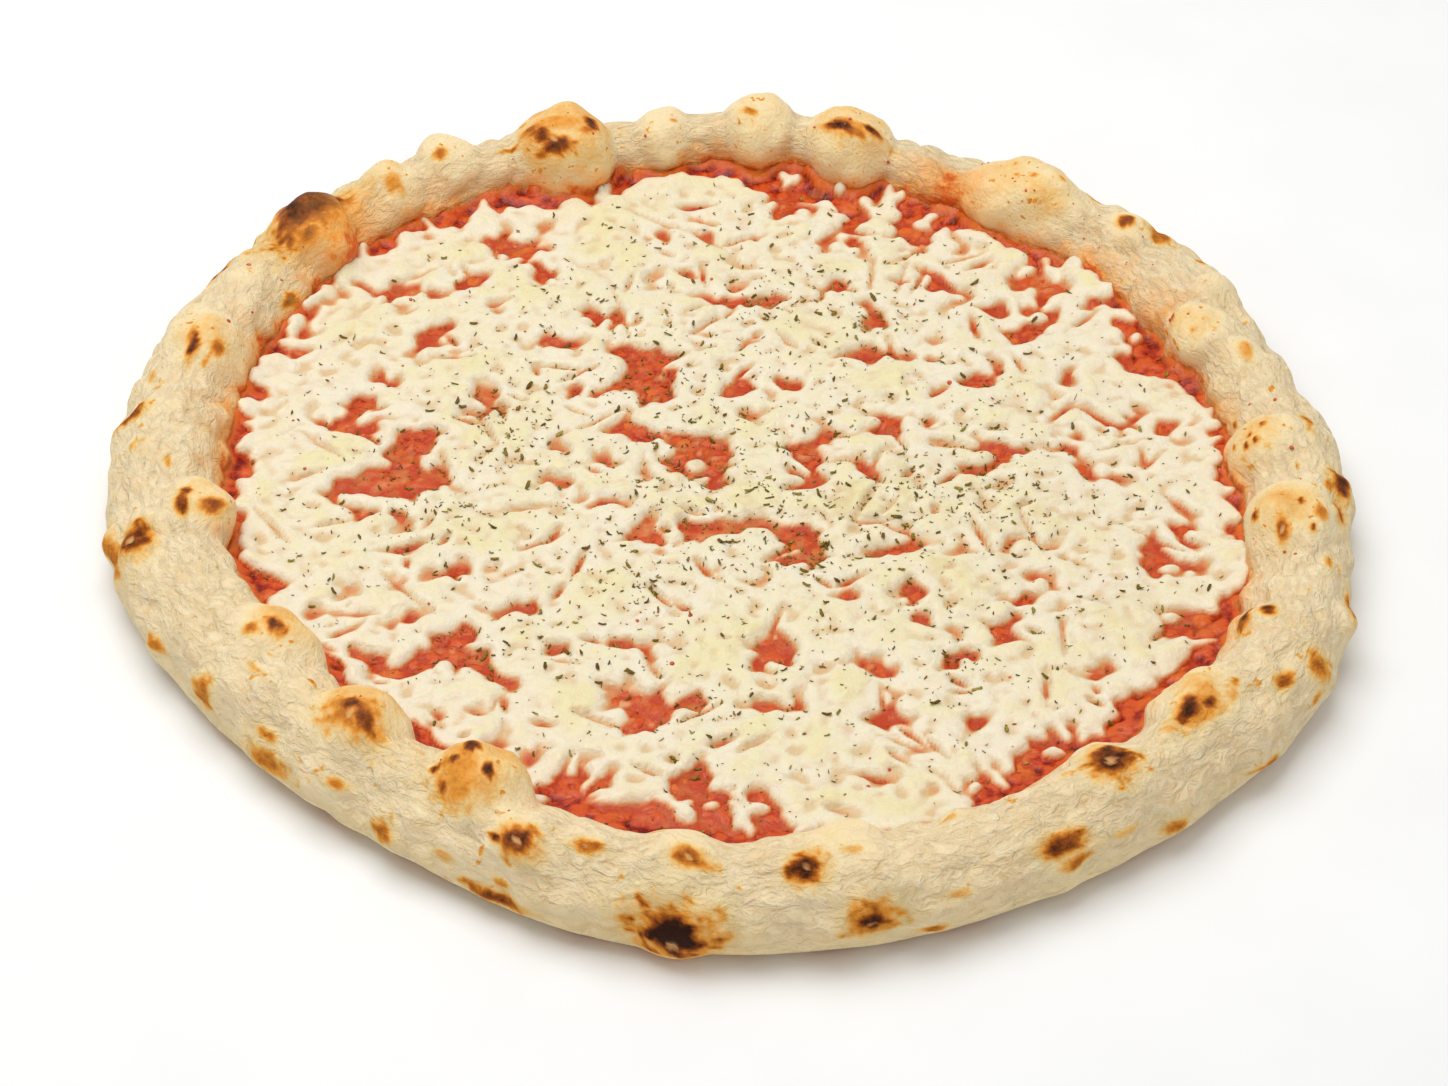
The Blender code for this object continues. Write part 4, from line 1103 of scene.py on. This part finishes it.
# ---- the pieces ----------------------------------------------------------------------------
class PIZZA_OT_crust(bpy.types.Operator):
    """Bakes the dough: a ball pressed flat in the middle, with a swollen, blistered rim"""
    bl_idname = "pizza.crust"
    bl_label = "Crust"

    def execute(self, context):
        look = context.scene.pizza_dough
        form = dough_form()
        rings = len(FLOOR_PARTS) + SECTION_RINGS + len(FOOT_PARTS) + 1
        start_piece()
        ball = float(form["radius"].max())
        bpy.ops.mesh.primitive_uv_sphere_add(segments=RIM_SEGMENTS, ring_count=rings,
                                             radius=ball * MM)
        piece = context.object
        piece.name = "crust_baked"
        mesh = piece.data

        points = read_points(mesh) / MM
        polar = np.arccos(np.clip(points[:, 2] / ball, -1.0, 1.0))
        ring = np.round(polar / math.pi * rings).astype(int)
        degrees_round = np.degrees(np.arctan2(points[:, 1], points[:, 0]))
        column = np.round(degrees_round / 360.0 * RIM_SEGMENTS).astype(int) % RIM_SEGMENTS

        radius = np.zeros(len(points))
        height = np.where(ring == 0, BASE_THICKNESS, 0.0)
        finish = {name: np.zeros(len(points)) for name in FINISHES}
        first = len(FLOOR_PARTS) + 1
        for number, part in enumerate(FLOOR_PARTS):
            here = ring == number + 1
            radius[here] = form["radius"][0][column[here]] * part
            height[here] = BASE_THICKNESS
            finish["oil"][here] = 0.9
        on_rim = (ring >= first) & (ring < first + SECTION_RINGS)
        row = ring[on_rim] - first
        radius[on_rim] = form["radius"][row, column[on_rim]]
        height[on_rim] = form["height"][row, column[on_rim]]
        for name, values in finish.items():
            values[on_rim] = form[name][row, column[on_rim]]

        foot = form["radius"][-1] - FOOT_INSET
        for number, part in enumerate(FOOT_PARTS):
            here = ring == first + SECTION_RINGS + number
            radius[here] = foot[column[here]] * part
        under = ring >= first + SECTION_RINGS
        angle = np.radians(degrees_round)
        spots = np.stack([radius * np.cos(angle), radius * np.sin(angle), height], axis=-1)
        flat = spots[under]
        relief = look.foot_relief / MM * (0.5 + waves(flat, 6.0, 3.0))
        height[under] += np.where(radius[under] < foot[column[under]] * 0.99,
                                  np.clip(relief, 0.0, None), 0.0)
        finish["across"][under] = finish["across"][~under].min() - 1.0
        spotted = smooth_step(0.05, 0.5, waves(flat, 9.0, 27.0) + 0.5 * waves(flat, 4.0, 37.0))
        finish["baked"][under] = 0.3 + 0.12 * waves(flat, 22.0, 47.0) + 0.42 * spotted
        finish["flour"][under] = 0.5 + 0.6 * waves(flat, 14.0, 67.0)
        spots[:, 2] = height
        write_points(mesh, placed(spots))
        for name, values in finish.items():
            paint(mesh, name, values)
        finish_piece(piece, dough_material(look), "crust")
        return {"FINISHED"}


class PIZZA_OT_sauce(bpy.types.Operator):
    """Spreads the tomato sauce over the dough's floor, up to and a little over the rim's foot"""
    bl_idname = "pizza.sauce"
    bl_label = "Tomato sauce"

    def execute(self, context):
        start_piece()
        cells = int(round(2.0 * FIELD_HALF / SAUCE_CELL))
        bpy.ops.mesh.primitive_grid_add(x_subdivisions=cells, y_subdivisions=cells,
                                        size=2.0 * FIELD_HALF * MM)
        piece = context.object
        piece.name = "tomato_sauce_spread"
        mesh = piece.data
        corners = np.empty(len(mesh.loops), np.int32)
        mesh.loops.foreach_get("vertex_index", corners)
        points = read_points(mesh) / MM
        middles = points[corners.reshape(-1, 4)].mean(axis=1)
        turn = np.degrees(np.arctan2(middles[:, 1], middles[:, 0]))
        beyond = np.hypot(middles[:, 0], middles[:, 1]) > np.maximum(wall_radius(turn) + 3.0,
                                                                     foot_radius(turn) + 1.2)
        select_faces(mesh, beyond)
        bpy.ops.object.mode_set(mode="EDIT")
        bpy.ops.mesh.select_mode(type="FACE")
        bpy.ops.mesh.delete(type="FACE")
        bpy.ops.object.mode_set(mode="OBJECT")
        points = read_points(mesh) / MM
        points[:, 2] = sauce_height(points[:, 0], points[:, 1])
        write_points(mesh, placed(points))
        close_below(piece, SAUCE_BOTTOM * MM)

        points = read_points(mesh) / MM - (*ring_shift(), 0.0)
        turn = np.degrees(np.arctan2(points[:, 1], points[:, 0]))
        beside = wall_radius(turn) - np.hypot(points[:, 0], points[:, 1])
        flat = points * (1.0, 1.0, 0.0)
        edge = smooth_step(2.2, -0.5, beside + 1.2 * waves(flat, 5.0, 77.0))
        thin = np.exp(-(in_field(toppings()["thickness"], points[:, 0], points[:, 1]) / 0.5) ** 2)
        patch = smooth_step(0.15, 0.5, waves(flat, 8.0, 17.0))
        paint(mesh, "oil", np.clip(0.75 * edge + 0.35 * thin * patch + 0.35 * patch, 0.0, 0.9))
        paint(mesh, "stands", in_field(toppings()["stands"], points[:, 0], points[:, 1]))
        finish_piece(piece, sauce_material(context.scene.pizza_sauce), "tomato_sauce")
        return {"FINISHED"}


class PIZZA_OT_cheese(bpy.types.Operator):
    """Melts the grated mozzarella over the sauce, open where the sauce shows"""
    bl_idname = "pizza.cheese"
    bl_label = "Mozzarella"

    def execute(self, context):
        fields = toppings()
        start_piece()
        cells = len(field_axes()[0]) - 1
        bpy.ops.mesh.primitive_grid_add(x_subdivisions=cells, y_subdivisions=cells,
                                        size=2.0 * FIELD_HALF * MM)
        piece = context.object
        piece.name = "mozzarella_melted"
        mesh = piece.data
        kept = self.covered(fields["thickness"])
        corners = np.empty(len(mesh.loops), np.int32)
        mesh.loops.foreach_get("vertex_index", corners)
        points = read_points(mesh) / MM
        middles = points[corners.reshape(-1, 4)].mean(axis=1)
        row, column = (np.floor((middles[:, axis] + FIELD_HALF) / CHEESE_CELL).astype(int)
                       for axis in (1, 0))
        select_faces(mesh, ~kept[row, column])
        bpy.ops.object.mode_set(mode="EDIT")
        bpy.ops.mesh.select_mode(type="FACE")
        bpy.ops.mesh.delete(type="FACE")
        bpy.ops.object.mode_set(mode="OBJECT")
        points = read_points(mesh) / MM
        points[:, 2] = in_field(fields["cheese"], points[:, 0], points[:, 1])
        write_points(mesh, placed(points))
        close_below(piece, CHEESE_BOTTOM * MM)

        points = read_points(mesh) / MM - (*ring_shift(), 0.0)
        x, y = points[:, 0], points[:, 1]
        thickness = in_field(fields["thickness"], x, y)
        pad = in_field(fields["pad"], x, y)
        paint(mesh, "hollow", in_field(fields["hollow"], x, y))
        paint(mesh, "thickness", np.clip(thickness / 3.2 + 0.12 * (pad - 0.5), 0.0, 1.0))
        stain = np.zeros(len(points))
        for cluster_x, cluster_y, spread, count in HERB_CLUSTERS:
            near = np.hypot(x - cluster_x, y - cluster_y) / spread
            stain = np.maximum(stain, np.exp(-0.5 * near ** 2) * min(count / 60.0, 1.0))
        broken = smooth_step(-0.1, 0.5, waves(points, 3.5, 29.0))
        paint(mesh, "stain", 0.4 * stain * broken + 0.12 * broken * smooth_step(1.6, 0.6, thickness))
        finish_piece(piece, cheese_material(context.scene.pizza_cheese), "mozzarella")
        return {"FINISHED"}

    def covered(self, thickness):
        """Cells that the cheese covers, with no two of them meeting at a corner alone."""
        deep = thickness < -0.45
        kept = ~(deep[:-1, :-1] & deep[1:, :-1] & deep[:-1, 1:] & deep[1:, 1:])
        while True:
            a, b, c, d = kept[:-1, :-1], kept[1:, 1:], kept[1:, :-1], kept[:-1, 1:]
            touching = (a & b & ~c & ~d) | (c & d & ~a & ~b)
            if not touching.any():
                return kept
            for rows, columns in ((0, 0), (1, 1), (1, 0), (0, 1)):
                kept[rows:rows + touching.shape[0], columns:columns + touching.shape[1]] |= touching


def flake_shapes():
    """A few dried leaf bits and stalks, modelled once: curled and cut plates and short rods."""
    shapes = []
    draw = random.Random(11)
    for number in range(5):
        start_piece()
        if number < 4:
            bpy.ops.mesh.primitive_circle_add(vertices=6, radius=0.5, fill_type="NGON")
        else:
            bpy.ops.mesh.primitive_cylinder_add(vertices=5, radius=0.12, depth=1.3,
                                                rotation=(0.0, math.pi / 2.0, 0.0))
        piece = bpy.context.object
        bpy.ops.object.transform_apply(location=True, rotation=True, scale=True)
        bpy.ops.object.mode_set(mode="EDIT")
        bpy.ops.mesh.select_all(action="SELECT")
        if number < 4:
            bpy.ops.transform.resize(value=(draw.uniform(1.1, 1.8), draw.uniform(0.35, 0.65), 1.0))
            bpy.ops.mesh.poke()
            bpy.ops.mesh.extrude_region_move(TRANSFORM_OT_translate={"value": (0.0, 0.0, 0.14)})
        bpy.ops.mesh.select_all(action="SELECT")
        bpy.ops.mesh.normals_make_consistent(inside=False)
        bpy.ops.mesh.quads_convert_to_tris()
        bpy.ops.object.mode_set(mode="OBJECT")
        mesh = piece.data
        points = read_points(mesh)
        curl = draw.uniform(0.25, 0.7)
        points[:, 2] += curl * points[:, 0] ** 2 - 0.3 * curl * points[:, 1] * points[:, 0]
        points[:, :2] += [[draw.uniform(-0.09, 0.09), draw.uniform(-0.09, 0.09)] for _ in points]
        faces = np.empty(len(mesh.polygons) * 3, np.int32)
        mesh.polygons.foreach_get("vertices", faces)
        shapes.append((points, faces.reshape(-1, 3)))
        bpy.data.objects.remove(piece, do_unlink=True)
    return shapes


def drop_shape():
    """One drop: a small ball pressed flat where it lies."""
    start_piece()
    bpy.ops.mesh.primitive_ico_sphere_add(subdivisions=2, radius=0.5)
    piece = bpy.context.object
    bpy.ops.object.mode_set(mode="EDIT")
    bpy.ops.mesh.select_all(action="SELECT")
    bpy.ops.transform.resize(value=(1.0, 0.8, 0.55))
    bpy.ops.object.mode_set(mode="OBJECT")
    mesh = piece.data
    points = read_points(mesh)
    faces = np.empty(len(mesh.polygons) * 3, np.int32)
    mesh.polygons.foreach_get("vertices", faces)
    bpy.data.objects.remove(piece, do_unlink=True)
    return points, faces.reshape(-1, 3)


def scatter(name, shapes, places):
    """One mesh of many copies. A place is: shape, point, its normal, turn, size, shade."""
    points, faces, shades = [], [], []
    start = 0
    for number, point, normal, turn, size, shade in places:
        base, triangles = shapes[number]
        rotation = Vector(normal).to_track_quat("Z", "Y").to_matrix()
        cosine, sine = math.cos(turn), math.sin(turn)
        spun = base @ np.array(((cosine, sine, 0.0), (-sine, cosine, 0.0), (0.0, 0.0, 1.0)))
        points.append(spun @ np.array(rotation).T * size + point)
        faces.append(triangles + start)
        shades.append(np.full(len(base), shade))
        start += len(base)
    points = placed(np.concatenate(points))
    faces = np.concatenate(faces)
    mesh = bpy.data.meshes.new(name)
    mesh.vertices.add(len(points))
    mesh.vertices.foreach_set("co", points.ravel())
    mesh.loops.add(len(faces) * 3)
    mesh.loops.foreach_set("vertex_index", faces.ravel())
    mesh.polygons.add(len(faces))
    mesh.polygons.foreach_set("loop_start", np.arange(len(faces)) * 3)
    mesh.update(calc_edges=True)
    mesh.validate()
    paint(mesh, "shade", np.concatenate(shades))
    piece = bpy.data.objects.new(name, mesh)
    bpy.context.scene.collection.objects.link(piece)
    start_piece()
    piece.select_set(True)
    bpy.context.view_layer.objects.active = piece
    return piece


def topping_spot(x, y):
    """Point on top of the toppings, and the way up from it."""
    top = np.maximum(toppings()["sauce"], toppings()["cheese"])
    here = [float(in_field(top, x + dx, y + dy)) for dx, dy in ((0, 0), (0.8, 0), (0, 0.8))]
    return (x, y, here[0]), (-(here[1] - here[0]) / 0.8, -(here[2] - here[0]) / 0.8, 1.0)


def rim_spot(angle, lean):
    """Point on the rim's skin, and the way out from it."""
    form = dough_form()
    column = int(round(angle / 360.0 * RIM_SEGMENTS)) % RIM_SEGMENTS
    row = int(round((WALL_LEAN - lean) / (WALL_LEAN - LOWEST_LEAN) * (SECTION_RINGS - 1)))
    turn = math.radians(angle)
    radius = float(form["radius"][row, column])
    tilt = math.radians(lean)
    point = (radius * math.cos(turn), radius * math.sin(turn), float(form["height"][row, column]))
    return point, (math.cos(tilt) * math.cos(turn), math.cos(tilt) * math.sin(turn), math.sin(tilt))


class PIZZA_OT_herbs(bpy.types.Operator):
    """Scatters dried herb flakes over the toppings, thicker in the middle and in clusters"""
    bl_idname = "pizza.herbs"
    bl_label = "Dried herbs"

    def execute(self, context):
        draw = random.Random(5)
        spots = []
        for x, y, spread, count in HERB_CLUSTERS:
            spots += [(draw.gauss(x, spread), draw.gauss(y, spread)) for _ in range(count)]
        while len(spots) < sum(row[3] for row in HERB_CLUSTERS) + context.scene.pizza_herbs.loose:
            radius = 127.0 * math.sqrt(draw.random())
            if draw.random() < 1.1 - radius / 138.0:
                angle = draw.uniform(0.0, math.tau)
                spots.append((radius * math.cos(angle), radius * math.sin(angle)))
        shapes = flake_shapes()
        places = []
        hollow = toppings()["hollow"]
        for spot in spots:
            x, y = max([(spot[0] + draw.gauss(0, 1.1), spot[1] + draw.gauss(0, 1.1))
                        for _ in range(3)], key=lambda place: float(in_field(hollow, *place)))
            point, up = topping_spot(x, y)
            lean = (up[0] + draw.gauss(0, 0.35), up[1] + draw.gauss(0, 0.35), up[2])
            size = min(0.35 + draw.expovariate(2.9), 1.8)
            places.append((draw.choice((0, 0, 1, 2, 3, 4)), np.array(point) + (0, 0, 0.05), lean,
                           draw.uniform(0.0, math.tau), size, draw.betavariate(1.6, 2.4)))
        piece = scatter("herb_flakes", shapes, places)
        finish_piece(piece, herb_material(context.scene.pizza_herbs))
        return {"FINISHED"}


class PIZZA_OT_flecks(bpy.types.Operator):
    """Flings small drops of sauce over the cheese and the rim's inner side"""
    bl_idname = "pizza.flecks"
    bl_label = "Sauce flecks"

    def execute(self, context):
        draw = random.Random(13)
        places = []
        for _ in range(SAUCE_FLECKS):
            radius = 118.0 * math.sqrt(draw.random())
            angle = draw.uniform(0.0, math.tau)
            point, up = topping_spot(radius * math.cos(angle), radius * math.sin(angle))
            places.append((0, point, up, draw.uniform(0, math.tau),
                           min(0.4 + draw.expovariate(3.0), 1.6), 0.5))
        for low, high, count in ((18, 64, 26), (68, 82, 10), (100, 120, 14), (140, 170, 8),
                                 (225, 250, 6), (340, 375, 12)):
            for _ in range(count):
                point, up = rim_spot(draw.uniform(low, high), draw.uniform(85, 150))
                places.append((0, point, up, draw.uniform(0, math.tau),
                               min(0.35 + draw.expovariate(3.5), 1.5), 0.5))
        piece = scatter("sauce_flecks", [drop_shape()], places)
        finish_piece(piece, fleck_material(context.scene.pizza_sauce))
        return {"FINISHED"}


class PIZZA_OT_stage(bpy.types.Operator):
    """Sets the white floor, the soft lights and the camera"""
    bl_idname = "pizza.stage"
    bl_label = "Stage"

    def execute(self, context):
        look = context.scene.pizza_stage
        start_piece()
        bpy.ops.mesh.primitive_plane_add(size=6.0)
        floor = context.object
        floor.name = "floor"
        floor.data.materials.append(floor_material())

        target = Vector((-ring_middle()[0] - 2.5, -ring_middle()[1] - 17.5, 0.0)) * MM
        back = Vector((0.0, -math.cos(look.elevation), math.sin(look.elevation)))
        bpy.ops.object.camera_add(location=target + back * look.distance)
        camera = context.object
        camera.rotation_euler = (-back).to_track_quat("-Z", "Y").to_euler()
        camera.data.lens = look.lens
        camera.data.sensor_width = 36.0
        camera.data.clip_start = 0.01
        context.scene.camera = camera

        for name, at, size, power in (("key", (-0.18, 0.12, 1.0), 0.9, look.key),
                                      ("fill", (0.5, -0.7, 0.8), 0.9, look.key * 0.08)):
            bpy.ops.object.light_add(type="AREA", location=at)
            lamp = context.object
            lamp.name = name
            lamp.rotation_euler = (-Vector(at)).to_track_quat("-Z", "Y").to_euler()
            lamp.data.size = size
            lamp.data.energy = power
        world = bpy.data.worlds.new("white_room")
        world.use_nodes = True
        world.node_tree.nodes["Background"].inputs["Color"].default_value = linear("#FFFFFF")
        world.node_tree.nodes["Background"].inputs["Strength"].default_value = look.sky
        context.scene.world = world
        context.scene.view_settings.view_transform = "Standard"
        return {"FINISHED"}


def ring_middle():
    """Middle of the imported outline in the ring's frame."""
    shift = ring_shift()
    return -shift[0], -shift[1]


class PIZZA_PT_panel(bpy.types.Panel):
    """Lists the pizza's pieces"""
    bl_idname = "PIZZA_PT_panel"
    bl_label = "Margherita pizza"
    bl_space_type = "VIEW_3D"
    bl_region_type = "UI"
    bl_category = "Pizza"

    def draw(self, context):
        for operator in OPERATORS:
            self.layout.operator(operator.bl_idname)


SETTINGS = {"pizza_dough": DoughSettings, "pizza_sauce": SauceSettings,
            "pizza_cheese": CheeseSettings, "pizza_herbs": HerbSettings,
            "pizza_stage": StageSettings}
OPERATORS = (PIZZA_OT_crust, PIZZA_OT_sauce, PIZZA_OT_cheese, PIZZA_OT_herbs, PIZZA_OT_flecks,
             PIZZA_OT_stage)


def register():
    for kind in (*SETTINGS.values(), *OPERATORS, PIZZA_PT_panel):
        bpy.utils.register_class(kind)
    for name, kind in SETTINGS.items():
        setattr(bpy.types.Scene, name, PointerProperty(type=kind))


def unregister():
    for name in SETTINGS:
        delattr(bpy.types.Scene, name)
    for kind in (PIZZA_PT_panel, *reversed(OPERATORS), *SETTINGS.values()):
        bpy.utils.unregister_class(kind)


def main():
    register()
    for operator in OPERATORS:
        group, name = operator.bl_idname.split(".")
        getattr(getattr(bpy.ops, group), name)()


if __name__ == "__main__":
    main()
